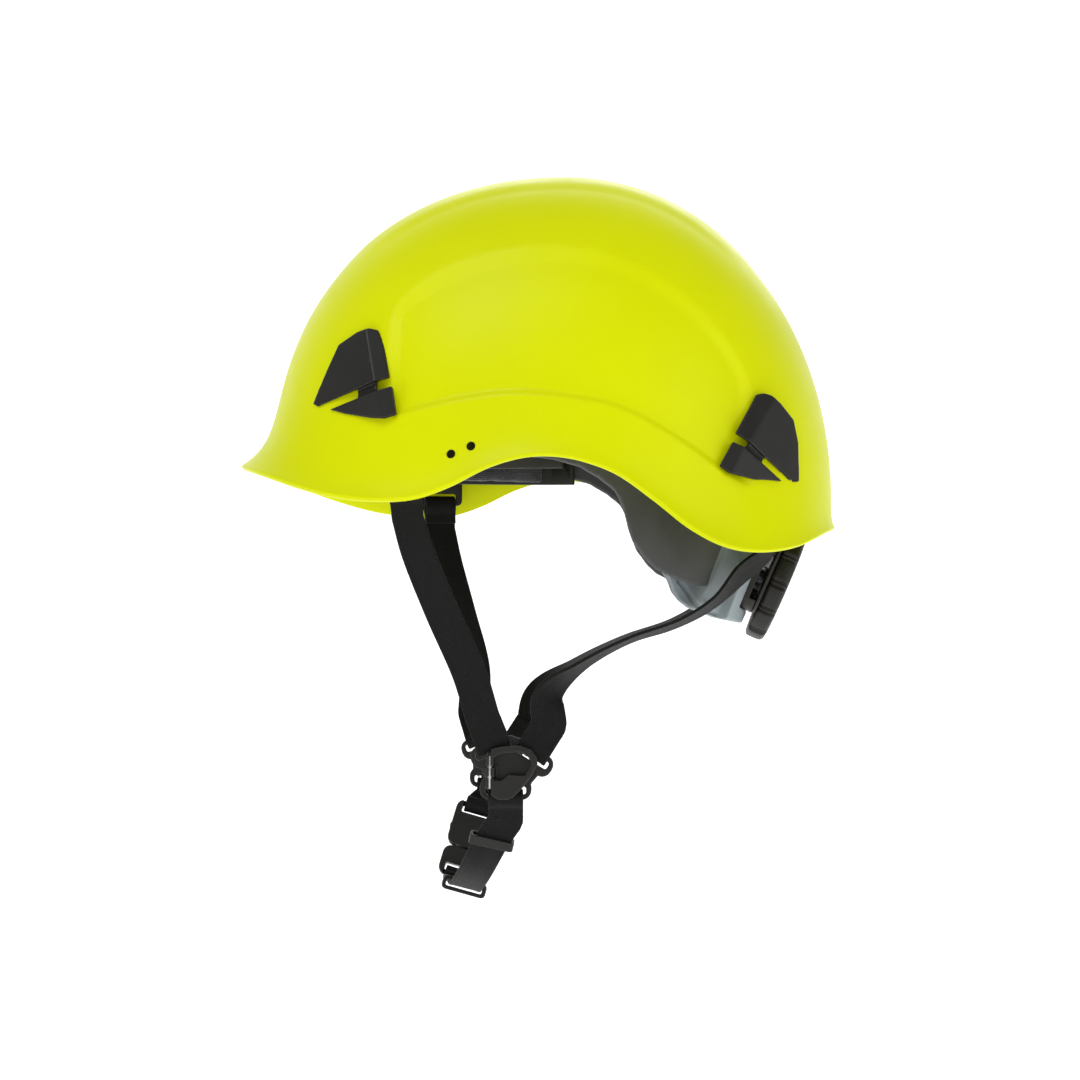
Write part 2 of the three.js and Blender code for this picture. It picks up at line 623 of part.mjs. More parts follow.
// The KNOB's local x runs down the nape and y across it; flat makes a plate between two depths.
function flat(width, height, from, to, x = 0, y = 0) {
  return box(height, width, to - from, x, y, (from + to) / 2);
}

// The nape cradle is one light moulding whose arms run forward inside the side plates. Its back is a thick pad
// with a pocket for the ratchet's housing and a channel for the racks.
const NAPE_EDGE = [
  [48, -13], [43, -24], [45, -36], [50, -47], [54, -53.9], [55.9, -59.4], [59.5, -64], [64.1, -67.6],
  [68.6, -69.5], [77, -72.5], [88.7, -74.9], [120, -76], [120, -29], [96, -30], [84, -34], [66, -26],
  [50, -16],
];
const PAD = { depth: 6.5, turn: 27, reach: 130 };
const NAPE_SPAN = { turn: 85, low: -80, high: -5 };
function napeGeometry() {
  const { turn, low, high } = NAPE_SPAN;
  const wall = ovalWall(NAPE, 180 - turn, 180 + turn, low, high, 0, NAPE.thick, 60);
  const pad = ovalWall(NAPE, 180 - PAD.turn, 180 + PAD.turn, low, high, -PAD.depth, NAPE.thick / 2, 20);
  const pocket = flat(HOUSING.width + 2 * GAP, HOUSING.height + 2 * GAP, HOUSING.floor - GAP / 2, 0);
  const passage = flat(PAD.reach, HOUSING.pocket, RACK_BOTTOM - GAP, 0);
  const outline = slab(NAPE_EDGE, -PAD.reach, PAD.reach);
  const body = solid(joined(wall, pad)).intersect(solid(outline));
  return shape(body.subtract(solid(onNape(joined(pocket, passage)))));
}
add("nape_cradle", napeGeometry(), GREY);

// Teeth round the pinion, or along a rack when straight; each is a trapezium narrower at its tip.
function toothOutline(tipHalf, rootHalf, root, tip, middle) {
  return [[middle - rootHalf, root], [middle - tipHalf, tip], [middle + tipHalf, tip], [middle + rootHalf, root]];
}

function pinionGeometry(bottom, top) {
  const outline = [];
  for (let k = 0; k < GEAR.teeth; k++) {
    const turned = (k * 2 * Math.PI) / GEAR.teeth;
    const root = PINION.radius - PINION.dedendum;
    toothOutline(0.3, 0.85, root, PINION.radius + PINION.addendum, 0).forEach(([side, out]) => {
      const x = out * Math.cos(turned) - side * Math.sin(turned);
      const y = out * Math.sin(turned) + side * Math.cos(turned);
      outline.push([x, y]);
    });
  }
  const profile = new THREE.Shape(outline.map(([x, y]) => new THREE.Vector2(x, y)));
  return new THREE.ExtrudeGeometry(profile, { depth: top - bottom, bevelEnabled: false }).translate(0, 0, bottom);
}

// A rack on the pinion's +x or -x side (side), its teeth towards the pinion, from y = from to y = to.
function rackGeometry(side, from, to, bottom) {
  const pitch = Math.PI * GEAR.module;
  const line = PINION.radius * side; // the rack's pitch line
  const outline = [];
  const first = Math.ceil(from / pitch - 0.5);
  const last = Math.floor(to / pitch - 0.5);
  outline.push([line + side * 5, from], [line + side * PINION.dedendum, from]);
  for (let k = first; k <= last; k++) {
    const middle = (k + 0.5) * pitch;
    if (middle - 1 < from || middle + 1 > to) continue;
    toothOutline(0.28, 0.75, PINION.dedendum, -PINION.addendum, middle).forEach(([y, out]) => {
      outline.push([line + side * out, y]);
    });
  }
  outline.push([line + side * PINION.dedendum, to], [line + side * 5, to]);
  const profile = new THREE.Shape(outline.map(([x, y]) => new THREE.Vector2(x, y)));
  return new THREE.ExtrudeGeometry(profile, { depth: RACK.thick, bevelEnabled: false }).translate(0, 0, bottom);
}

function knobGeometry() {
  const outline = [];
  const steps = 4 * KNOB.lobes;
  for (let k = 0; k < steps; k++) {
    const angle = (k / steps) * 2 * Math.PI;
    const r = KNOB.radius - 1.1 * (1 - Math.cos(KNOB.lobes * angle)) ** 1.5 / 2;
    outline.push([r * Math.cos(angle), r * Math.sin(angle)]);
  }
  const scaled = (share) => outline.map(([x, y]) => [x * share, y * share]);
  const half = KNOB.thick / 2;
  const rings = [[0.955, -half], [1, -half + 1.4], [1, half - 1.6], [0.94, half]];
  const disc = loft(rings.map(([share, z]) => scaled(share).map(([x, y]) => V(x, y, z))));
  const dish = rod(19, 3, 0, 0, half, true, 36);
  const bore = rod(SCREW.radius + GAP, 30, 0, 0, 0, true);
  const seat = rod(SCREW.head + 0.5, 6, 0, 0, half - 1.5 + 0.4, true, 24);
  return cut(disc, dish, bore, seat);
}

const SCREW = { radius: 1.9, head: 3.8 };
function knobScrewGeometry() {
  const shank = rod(SCREW.radius, 11, 0, 0, -4.4, true);
  const head = rod(SCREW.head, 1.4, 0, 0, 1.7, true, 24);
  const socket = rod(1.6, 1.2, 0, 0, 2.2, true, 6);
  return cut(joined(shank, head), socket);
}

const LID_BORE = 5.5;
const bore = (radius) => rod(radius, 60, 0, 0, 0, true, 24);
const housingOutline = roundRect(HOUSING.height, HOUSING.width, 6);
const tray = prism(housingOutline, HOUSING.floor, HOUSING.lid - GAP);
const channel = flat(HOUSING.width + 2, HOUSING.pocket, RACK_BOTTOM - GAP, HOUSING.lid + 1);
add("ratchet_housing", onNape(cut(tray, channel)), BLACK);
add("ratchet_cover", onNape(cut(prism(housingOutline, HOUSING.lid, HOUSING.top), bore(LID_BORE))), BLACK);
add("size_knob", onNape(knobGeometry()), BLACK);
add("knob_screw", onNape(knobScrewGeometry()), STEEL);
const gearWheel = pinionGeometry(RACK_BOTTOM, RACK_BOTTOM + RACK.thick);
const gearHub = rod(LID_BORE - GAP, 4, 0, 0, HOUSING.top - GAP / 2 - 2, true, 24);
add("knob_pinion", onNape(cut(joined(gearWheel, gearHub), bore(SCREW.radius + GAP))), STEEL);
add("rack_left", onNape(rackGeometry(-1, -33, 5, RACK_BOTTOM)), SLATE);
add("rack_right", onNape(rackGeometry(1, -5, 33, RACK_BOTTOM)), SLATE);

// ---------------------------------------------------------------- strap anchors
const ANCHORS = {
  front: { x: -69, z: -12.5, inset: SHELL_WALL + 8 },
  rear: { x: 121, z: -21, inset: SHELL_WALL + 8.5, out: V(0.99, -0.12, 0).normalize() },
};
const ANCHOR = { height: 22, thick: 2.6, boss: [12, 9] };
function anchorPlace(spot) {
  const place = wallPlace(-turnAt(spot.x, spot.z), spot.z, spot.inset);
  return { at: place.at, out: spot.out ?? place.out };
}

function anchorGeometry(spot) {
  const { at, out } = anchorPlace(spot);
  const depth = spot.inset + 6;
  const boss = box(ANCHOR.boss[0], depth, ANCHOR.boss[1], 0, -depth / 2, ANCHOR.height - ANCHOR.boss[1]);
  const plate = faced(joined(eyePlate(WEB.width, ANCHOR.height, ANCHOR.thick), boss), at, out);
  return shape(solid(plate).intersect(solid(shellFilled(-SHELL_WALL - GAP))));
}
addPair("strap_anchor_front", anchorGeometry(ANCHORS.front), BLACK);
addPair("strap_anchor_rear", anchorGeometry(ANCHORS.rear), BLACK);

// ---------------------------------------------------------------- strap dividers
// The dividers gather the four straps below the ears. The right one hangs a little lower and further forward.
const DIVIDERS = { left: V(-17, -66, -142), right: V(-31.5, -61, -145.5) };
const EYES = [
  { name: "front", x: -10, z: 11.5, tilt: -20 },
  { name: "rear", x: 9, z: 8.8, tilt: 32 },
  { name: "chin", x: -4, z: -13, tilt: 180 },
];
const DIVIDER = { thick: 2.6, eyeHeight: 10.5 };
const LEVER = { width: 24, wall: 3.6, near: 4.2, thick: 2.8, hingeX: -11, pin: 1, z: -1.2, ear: 4.4 };

function eyeSlot(eye) {
  const slot = slab(roundRect(WEB.width + 3, EYE.slot, 0.6, 0, -BAR / 2 - EYE.slot / 2, 1), -9, 9);
  return slot.rotateY(rad(eye.tilt)).translate(eye.x, 0, eye.z);
}

function dividerGeometry() {
  const eyes = EYES.map((eye) => {
    const width = WEB.width + 2 + 2 * EYE.rim;
    const outline = roundRect(width, DIVIDER.eyeHeight, 4.5, 0, BAR / 2 - DIVIDER.eyeHeight / 2, 4);
    return slab(outline, -DIVIDER.thick / 2, DIVIDER.thick / 2).rotateY(rad(eye.tilt)).translate(eye.x, 0, eye.z);
  });
  const middle = slab([[-16, 9], [-14, -6], [6, -9], [16, 3], [4, 12]], -DIVIDER.thick / 2, DIVIDER.thick / 2);
  const earDepth = LEVER.near + LEVER.thick - DIVIDER.thick / 2 + 1;
  const ear = box(4.6, earDepth, LEVER.ear, LEVER.hingeX, -LEVER.near - LEVER.thick + earDepth / 2, LEVER.z);
  const pinHole = rod(LEVER.pin + GAP, 30, LEVER.hingeX, -LEVER.near - LEVER.thick / 2, 0, true);
  return cut(joined(...eyes, middle, ear), ...EYES.map(eyeSlot), pinHole);
}

// The locking lever is a D-shaped ring, pointed below, that turns on an upright pin. A thumb plate fills its
// lower part. Both outlines are about the ring's middle.
const LEVER_RIM = [
  [-12, -7], [-9.5, -10.6], [-6, -12.6], [-2, -12.6], [1, -11.2], [5.2, -6.8], [9, -1.8], [11.8, 3.5], [11.6, 7],
  [9, 10.6], [4, 12.4], [-5, 11.8], [-10.5, 10.3], [-12, 8],
];
const LEVER_OPENING = [
  [-8.4, -3.4], [-5, -4], [-1.5, -1.2], [6, -1.6], [8.2, 2.4], [8.7, 5], [7.2, 7.6], [3.4, 9.2], [-5, 8.6],
  [-8.4, 6.6],
];
function leverGeometry() {
  const body = slab(LEVER_RIM, LEVER.near, LEVER.near + LEVER.thick, [LEVER_OPENING]);
  const shifted = body.translate(LEVER.hingeX + LEVER.width / 2 - LEVER.wall / 2, 0, LEVER.z);
  const notch = box(6, 9, LEVER.ear + 2 * GAP, LEVER.hingeX, -LEVER.near - LEVER.thick / 2, LEVER.z);
  const pinHole = rod(LEVER.pin + GAP, 40, LEVER.hingeX, -LEVER.near - LEVER.thick / 2, 0, true);
  return cut(shifted, notch, pinHole);
}

const leverPinGeometry = () =>
  rod(LEVER.pin, 15, LEVER.hingeX, -LEVER.near - LEVER.thick / 2, LEVER.z, true);

function addAtDivider(name, geometry, material) {
  add(name + "_left", geometry.clone().translate(...DIVIDERS.left.toArray()), material);
  add(name + "_right", mirrored(geometry.clone().translate(...DIVIDERS.right.toArray())), material);
}
addAtDivider("strap_divider", dividerGeometry(), BLACK);
addAtDivider("divider_lever", leverGeometry(), BLACK);
addAtDivider("lever_pin", leverPinGeometry(), STEEL);

// ---------------------------------------------------------------- side straps
const square = (normal, along) => normal.clone().addScaledVector(along, -normal.dot(along)).normalize();

const eyeAxis = (eye) => V(1, 0, 0).applyAxisAngle(V(0, 1, 0), rad(eye.tilt));

// A strap from an anchor's bar to a divider's bar, sewn back on itself at both ends. The controls between them
// give the middle of the webbing and the way its outer face looks.
function sideStrap(spot, eye, divider, controls) {
  const top = anchorPlace(spot);
  const low = V(eye.x, 0, eye.z).add(divider);
  const middles = controls.map((c) => V(c[0], c[1], c[2]));
  const topEnd = sewnEnd(top.at, V(-top.out.y, top.out.x, 0), middles[0], top.out, 11);
  const lowEnd = sewnEnd(low, eyeAxis(eye), middles[middles.length - 1], V(0, -1, 0), 11);
  return strapBetween(topEnd, controls, lowEnd, 18);
}

// The end of a strap that loops round a bar along axis and leads on towards the point next.
function sewnEnd(bar, axis, next, facing, tail) {
  const away = square(next.clone().sub(bar), axis);
  const normal = away.clone().cross(axis).normalize();
  if (normal.dot(facing) < 0) normal.negate();
  const turn = loopRound(bar, away, normal, tail, WEB.thick);
  const exit = bar.clone().addScaledVector(away, tail + 3).addScaledVector(normal, WEB.thick * 0.6);
  return { ...turn, exit: [...exit.toArray(), ...normal.toArray()] };
}

function strapBetween(start, controls, end, steps) {
  const run = smoothRun([start.exit, ...controls, end.exit], steps);
  return ribbon(
    [...start.points, ...run.points, ...end.points.reverse()],
    [...start.normals, ...run.normals, ...end.normals.reverse()],
    WEB.width, WEB.thick,
  );
}

const FRONT_RUN = [
  [-60.5, -80.5, -42, -0.2, -1, -0.15], [-50, -75, -69, -0.1, -1, -0.12], [-37.5, -70.5, -98, 0, -1, -0.1],
];
const REAR_RUN = [
  [101, -47, -41.5, 0.75, -0.35, -0.55], [88, -54, -52, 0.65, -0.5, -0.6], [74, -62.5, -66, 0.45, -0.3, -0.85],
  [58, -67, -75, 0.3, -0.2, -0.95], [36, -69, -82.5, 0.35, -0.15, -0.93], [14, -69, -94.5, 0.45, -0.25, -0.85],
  [-1, -68.5, -108, 0.35, -0.75, -0.55],
];
// The same run towards a divider that hangs dx, dy, dz away.
const moved = (controls, dx, dy, dz) => controls.map((c, i) => {
  const share = ((i + 1) / (controls.length + 1)) ** 2;
  return [c[0] + dx * share, c[1] + dy * share, c[2] + dz * share, c[3], c[4], c[5]];
});
const across = DIVIDERS.right.clone().sub(DIVIDERS.left);
const FRONT_RUN_RIGHT = moved(FRONT_RUN, across.x, 0, across.z);
const REAR_RUN_RIGHT = moved(REAR_RUN, across.x, 0, across.z);

add("front_strap_left", sideStrap(ANCHORS.front, EYES[0], DIVIDERS.left, FRONT_RUN), WEBBING);
add("rear_strap_left", sideStrap(ANCHORS.rear, EYES[1], DIVIDERS.left, REAR_RUN), WEBBING);
const frontRight = sideStrap(ANCHORS.front, EYES[0], DIVIDERS.right, FRONT_RUN_RIGHT);
const rearRight = sideStrap(ANCHORS.rear, EYES[1], DIVIDERS.right, REAR_RUN_RIGHT);
add("front_strap_right", mirrored(frontRight), WEBBING);
add("rear_strap_right", mirrored(rearRight), WEBBING);

// ---------------------------------------------------------------- chin strap and buckle
// The buckle's own frame: mouth at z = 0 and the strap above it, width along x, faces along -y and +y.
const BUCKLE = { at: V(-46.5, 41, -189.5), width: 24, depth: 9, height: 23, wall: 1.8, lean: 14, roll: 16 };
const buckleTurn = new THREE.Quaternion().setFromAxisAngle(V(0, 1, 0), rad(BUCKLE.roll))
  .multiply(new THREE.Quaternion().setFromAxisAngle(V(1, 0, 0), rad(-BUCKLE.lean)));
const buckleAxis = V(1, 0, 0).applyQuaternion(buckleTurn);
const onBucklePoint = (z) => V(0, 0, z).applyQuaternion(buckleTurn).add(BUCKLE.at);
function onBuckle(geometry) {
  return geometry.applyQuaternion(buckleTurn).translate(...BUCKLE.at.toArray());
}

// What is cut away to leave a bar for webbing across a buckle half: the slot beside it and its front and back.
function barCuts(z, slotSide) {
  const width = WEB.width + 2;
  const slot = box(width, 20, EYE.slot, 0, 0, z + slotSide * (BAR / 2 + EYE.slot / 2));
  const thin = [-1, 1].map((side) => box(width, 9, BAR + 2, 0, side * (BAR / 2 + 4.5), z - slotSide));
  return [slot, ...thin];
}
const MALE_BAR = -14.5;

function buckleFemaleGeometry() {
  const { width, depth, height, wall } = BUCKLE;
  const body = slab(roundRect(width, height, 4, 0, height / 2, 4), -depth / 2, depth / 2);
  const inside = box(width - 2 * wall, depth - 2 * wall, 18, 0, 0, 8);
  const windows = box(width + 4, depth - 2 * wall - 0.6, 9, 0, 0, 10.5);
  return cut(body, inside, windows, ...barCuts(height - BAR / 2, -1));
}

function buckleMaleGeometry() {
  const { width, depth } = BUCKLE;
  const body = slab(roundRect(width, 15, 4, 0, -8.3, 4), -depth / 2 + 0.6, depth / 2 - 0.6);
  const tongue = box(4, 3.2, 15, 0, 0, 5.5);
  return joined(cut(body, ...barCuts(MALE_BAR, 1)), tongue);
}

const PRONG_THICK = 3.8;

// A spring prong: its arm stands beside the tongue and its shoulder shows in the female half's window.
function prongGeometry() {
  const outline = [
    [4.2, GAP], [7.4, GAP], [8.2, 6.8], [12.2, 7.2], [12.6, 9.5], [11.4, 13.6], [8.6, 15.2], [6.6, 14],
  ];
  return slab(outline, -PRONG_THICK / 2, PRONG_THICK / 2);
}
add("buckle_female", onBuckle(buckleFemaleGeometry()), BLACK);
add("buckle_male", onBuckle(buckleMaleGeometry()), BLACK);
add("buckle_prong_front", onBuckle(prongGeometry().rotateZ(Math.PI)), BLACK);
add("buckle_prong_rear", onBuckle(prongGeometry()), BLACK);

// The far side's webbing from the right divider to the female half.
function chinRightGeometry() {
  const eye = EYES[2];
  const top = V(eye.x, 0, eye.z).add(DIVIDERS.right).multiply(V(1, -1, 1));
  const low = onBucklePoint(BUCKLE.height - BAR / 2);
  const start = sewnEnd(top, V(1, 0, 0), low, V(0, 1, 0), 5);
  const end = sewnEnd(low, buckleAxis, top, V(0, 1, 0), 5);
  return ribbon(
    [...start.points, ...end.points.reverse()], [...start.normals, ...end.normals.reverse()], WEB.width, WEB.thick,
  );
}
add("chin_strap_right", chinRightGeometry(), WEBBING);

const CHIN_RUN = [
  [-28, -59, -176, 0, -1, -0.3], [-36, -46, -190.5, -0.05, -0.7, -0.75], [-42.5, -24, -200.5, -0.2, -0.28, -1],
  [-45, -6, -203, -0.29, 0, -1], [-48.5, 17, -203, -0.29, 0.1, -1],
];
// The webbing is in two lengths with a small gap, where it folds when the buckle is open.
const FOLD = { at: 0.245, gap: 0.021 };
const middle = (i) => V(CHIN_RUN[i][0], CHIN_RUN[i][1], CHIN_RUN[i][2]);
const chinStart = sewnEnd(V(EYES[2].x, 0, EYES[2].z).add(DIVIDERS.left), V(1, 0, 0), middle(0), V(0, -1, 0), 8);
const chinEnd = sewnEnd(onBucklePoint(MALE_BAR), buckleAxis, middle(CHIN_RUN.length - 1), V(0, 1, -1), 8);
const chinControls = [chinStart.exit, ...CHIN_RUN, chinEnd.exit];
const upperRun = smoothRun(chinControls, 8, 0, FOLD.at - FOLD.gap / 2);
const lowerRun = smoothRun(chinControls, 16, FOLD.at + FOLD.gap / 2, 1);
add("chin_strap_left", ribbon(
  [...chinStart.points, ...upperRun.points], [...chinStart.normals, ...upperRun.normals], WEB.width, WEB.thick,
), WEBBING);
add("chin_strap_lower", ribbon(
  [...lowerRun.points, ...chinEnd.points.reverse()], [...lowerRun.normals, ...chinEnd.normals.reverse()],
  WEB.width, WEB.thick,
), WEBBING);

// A rectangular sleeve round the chin webbing at one of its controls, its hole running along.
function sleeveGeometry(i, along, length, rim) {
  const [x, y, z, ...facing] = CHIN_RUN[i];
  const out = square(V(...facing), along);
  const across = along.clone().cross(out);
  const hole = [WEB.width + 2.2, WEB.thick + 1.9];
  const ring = prism(roundRect(hole[0] + 2 * rim, hole[1] + 2 * rim, rim, 0, 0, 2), -length / 2, length / 2, [
    roundRect(hole[0], hole[1], 0.4, 0, 0, 1),
  ]);
  const frame = new THREE.Matrix4().makeBasis(across, out, along).setPosition(V(x, y, z));
  return facingOut(mergeVertices(ring.applyMatrix4(frame).deleteAttribute("normal").deleteAttribute("uv"), 1e-4));
}
add("strap_keeper", sleeveGeometry(0, V(-0.25, 0.35, -1).normalize(), 4.6, 1.4), BLACK);
add("chin_slider", sleeveGeometry(3, middle(4).sub(middle(2)).normalize(), 4.6, 1.8), BLACK);

export default helmet;
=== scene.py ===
# %% [markdown]
# # An arborist's helmet
# This lesson dresses a climbing helmet: a moulded yellow shell with four black lamp clips, a ratchet
# headband under it and a webbing chin strap. The exact solids are already placed, in metres, with +Z up and
# the front of the helmet towards -X. Each step says what a piece is on the real helmet and then makes it or
# finishes it.

# %% Load the helmet's solids
import math

import bmesh
import bpy
import numpy as np
from mathutils import Matrix, Vector


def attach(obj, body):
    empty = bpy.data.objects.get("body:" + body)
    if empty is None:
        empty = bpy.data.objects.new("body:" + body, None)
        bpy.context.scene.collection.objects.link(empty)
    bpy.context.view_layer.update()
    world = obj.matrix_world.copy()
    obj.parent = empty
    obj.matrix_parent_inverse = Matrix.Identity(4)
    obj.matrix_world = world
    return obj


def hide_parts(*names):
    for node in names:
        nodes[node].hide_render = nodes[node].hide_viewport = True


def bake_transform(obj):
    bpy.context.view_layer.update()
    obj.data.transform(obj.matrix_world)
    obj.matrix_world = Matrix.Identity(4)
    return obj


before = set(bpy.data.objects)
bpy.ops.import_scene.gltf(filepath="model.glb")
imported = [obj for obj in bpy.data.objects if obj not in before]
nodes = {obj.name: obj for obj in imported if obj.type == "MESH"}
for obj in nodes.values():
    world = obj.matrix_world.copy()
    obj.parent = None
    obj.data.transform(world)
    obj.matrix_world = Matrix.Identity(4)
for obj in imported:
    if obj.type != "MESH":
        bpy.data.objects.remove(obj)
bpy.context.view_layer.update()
MM = 0.001

# %% [markdown]
# ## Camera
# A product picture of a helmet is taken with a long lens from its own height, so that the near and far rims
# almost line up. Here the camera stands 1.2 m away, turned a little towards the back and a little below the
# brim, which shows the far straps and the far end of the headband inside.

# %% Camera
AIM = Vector((-8.33, 0, -34.3)) * MM
DISTANCE = 1.2
TURN, RISE = math.radians(2.8), math.radians(-1.6)
LENS = 81.6


def make_camera():
    data = bpy.data.cameras.new("camera")
    data.lens = LENS
    camera = bpy.data.objects.new("camera", data)
    bpy.context.scene.collection.objects.link(camera)
    back = Vector((math.sin(TURN) * math.cos(RISE), -math.cos(TURN) * math.cos(RISE), math.sin(RISE)))
    camera.location = AIM + back * DISTANCE
    camera.rotation_mode = "QUATERNION"
    camera.rotation_quaternion = (-back).to_track_quat("-Z", "Y")
    bpy.context.scene.camera = camera
    return camera


# Plain sRGB display keeps strong colours as strong as the plastic's own.
bpy.context.scene.view_settings.view_transform = "Standard"
print("camera at", [round(c, 3) for c in make_camera().location])

# %% [markdown]
# ## Helpers for materials
# Every finish below is a Principled shader with a few procedural nodes. One function turns a hex colour
# into the linear values that Blender works in, and one adds a node with its settings and its links. The
# rest are short forms of that for the nodes that come up again and again. Pattern sizes are wanted in
# millimetres, and a texture on object coordinates repeats once a metre at scale 1.

# %% Material helpers
PER_MM = 1 / MM


def linear(hex_colour):
    channels = [int(hex_colour[i:i + 2], 16) / 255 for i in (1, 3, 5)]
    return [c / 12.92 if c <= 0.04045 else ((c + 0.055) / 1.055) ** 2.4 for c in channels] + [1]


def start_material(name, **shader):
    material = bpy.data.materials.new(name)
    material.use_nodes = True
    surface = material.node_tree.nodes["Principled BSDF"]
    for key, value in shader.items():
        surface.inputs[key.replace("_", " ").title().replace("Ior", "IOR")].default_value = value
    return material, surface


def connect(material, source, output, target, name):
    material.node_tree.links.new(source.outputs[output], target.inputs[name])


def add_node(material, kind, settings=(), links=()):
    """Adds a node. Settings are (name, value); links are (input, other node, its output)."""
    node = material.node_tree.nodes.new(kind)
    for name, value in settings:
        if isinstance(name, str) and hasattr(node, name):
            setattr(node, name, value)
        else:
            node.inputs[name].default_value = value
    for name, other, output in links:
        connect(material, other, output, node, name)
    return node


def add_noise(material, where, size_mm, detail):
    settings = [("Scale", PER_MM / size_mm), ("Detail", detail)]
    return add_node(material, "ShaderNodeTexNoise", settings, [("Vector", where, "Object")])


def add_cells(material, where, size_mm):
    settings = [("Scale", PER_MM / size_mm)]
    return add_node(material, "ShaderNodeTexVoronoi", settings, [("Vector", where, "Object")])


def add_math(material, operation, *values):
    """A Math node; each value is a number or a pair of another node and its output."""
    numbers = [(i, value) for i, value in enumerate(values) if not isinstance(value, tuple)]
    links = [(i, *value) for i, value in enumerate(values) if isinstance(value, tuple)]
    return add_node(material, "ShaderNodeMath", [("operation", operation), *numbers], links)


def add_ramp(material, source, output, stops):
    """A colour ramp; stops are (position, colour or grey level)."""
    ramp = add_node(material, "ShaderNodeValToRGB", links=[("Fac", source, output)])
    elements = ramp.color_ramp.elements
    while len(elements) < len(stops):
        elements.new(0.5)
    for element, (position, colour) in zip(elements, stops):
        element.position = position
        element.color = linear(colour) if isinstance(colour, str) else (colour, colour, colour, 1)
    return ramp


def add_relief(material, surface, height, output, strength, deep_mm, invert=False):
    """Bumps the surface by a height, up to so many millimetres deep."""
    settings = [("Strength", strength), ("Distance", deep_mm * MM), ("invert", invert)]
    bump = add_node(material, "ShaderNodeBump", settings, [("Height", height, output)])
    connect(material, bump, "Normal", surface, "Normal")


print("linear yellow:", [round(c, 3) for c in linear("#D4DC00")])

# %% [markdown]
# ## Shell: fluorescent ABS, injection moulded
# The shell is ABS coloured all through with a daylight-fluorescent pigment and moulded against a polished
# steel tool. The pigment takes in blue light and gives it back as yellow-green, so the plastic looks
# brighter than white paper would allow; a little emission of its own colour stands for that, and it is also
# a painted glow that lifts the shaded inside of the shell. The polish gives a clear, slightly soft
# highlight, and flow and handling leave a very gentle waviness that breaks up the reflections.

# %% Shell material
def fluorescent_abs_with_painted_glow():
    # The emission is partly the pigment's fluorescence and partly a painted glow that lifts the shaded inside
    # of the shell.
    material, surface = start_material(
        "fluorescent ABS, polished mould, painted glow", ior=1.53, emission_strength=0.1, specular_ior_level=0.08,
    )
    surface.inputs["Emission Color"].default_value = linear("#D4DC00")
    where = add_node(material, "ShaderNodeTexCoord")
    cloudy = add_noise(material, where, 90, 2.0)
    tint = add_ramp(material, cloudy, "Fac", [(0.3, "#D0D800"), (0.7, "#D8E000")])
    connect(material, tint, "Color", surface, "Base Color")
    scuffs = add_noise(material, where, 14, 5.0)
    polish = add_ramp(material, scuffs, "Fac", [(0.35, 0.3), (0.75, 0.39)])
    connect(material, polish, "Color", surface, "Roughness")
    add_relief(material, surface, add_noise(material, where, 1.6, 2.0), "Fac", 0.03, 0.01)
    return material


SHELL_ABS = fluorescent_abs_with_painted_glow()
print("material:", SHELL_ABS.name)

# %% [markdown]
# ## Moulded nylons
# The clips, anchors, dividers, buckle and ratchet are glass-filled nylon from spark-eroded tools: black,
# satin, with a fine grain about half a millimetre across that scatters the highlight. A pointiness ramp
# paints convex edges and corners paler: a painted highlight where the light catches the rounded edges. The
# side plates are a charcoal polypropylene, and the nape cradle is a softer copolymer in pale blue-grey.

# %% Moulded plastics
def moulded_satin(name, dark, light, edge_highlight, roughness, grain_mm=0.55, deep_mm=0.03):
    material, surface = start_material(name, ior=1.53, specular_ior_level=0.32)
    where = add_node(material, "ShaderNodeTexCoord")
    tint = add_ramp(material, add_noise(material, where, 22, 4.0), "Fac", [(0.32, dark), (0.7, light)])
    # Convex edges are painted paler by pointiness: a painted highlight where the light catches the rounded
    # edges.
    shape = add_node(material, "ShaderNodeNewGeometry")
    edge = add_ramp(material, shape, "Pointiness", [(0.51, 0.0), (0.6, 1.0)])
    # Colour inputs 6 and 7 of the Mix node are its A and B, and output 2 is their mixture.
    colour = add_node(
        material, "ShaderNodeMix", [("data_type", "RGBA"), (7, linear(edge_highlight))],
        [("Factor", edge, "Color"), (6, tint, "Color")],
    )
    connect(material, colour, 2, surface, "Base Color")
    grain = add_noise(material, where, grain_mm, 3.0)
    dull = add_ramp(material, grain, "Fac", [(0.3, roughness - 0.06), (0.7, roughness + 0.08)])
    connect(material, dull, "Color", surface, "Roughness")
    add_relief(material, surface, grain, "Fac", 0.35, deep_mm)
    return material


BLACK_NYLON = moulded_satin("glass-filled nylon, spark-eroded grain", "#161512", "#1D1C18", "#35332D", 0.42)
SLATE_NYLON = moulded_satin("charcoal polypropylene, fine grain", "#444545", "#4F5051", "#707274", 0.5)
GREY_COPOLYMER = moulded_satin(
    "pale grey copolymer, matt mould", "#8E989C", "#9CA6AA", "#B4BCBF", 0.5, deep_mm=0.02,
)
print("materials:", BLACK_NYLON.name, "/", SLATE_NYLON.name, "/", GREY_COPOLYMER.name)

# %% [markdown]
# ## Woven webbing
# The straps are black polyester webbing, 16 mm wide, woven in a herringbone: rows of warp yarn slant one way,
# then the other. Real yarns are 0.5 mm apart, too fine to read at arm's length, so the pattern is drawn at
# 1.2 mm. It follows the strap, so it needs coordinates along and across it, which each strap's mesh carries
# in a UV map measured in centimetres.

# %% Webbing material
WEAVE_MM = 1.2
BAND_CM = 0.45


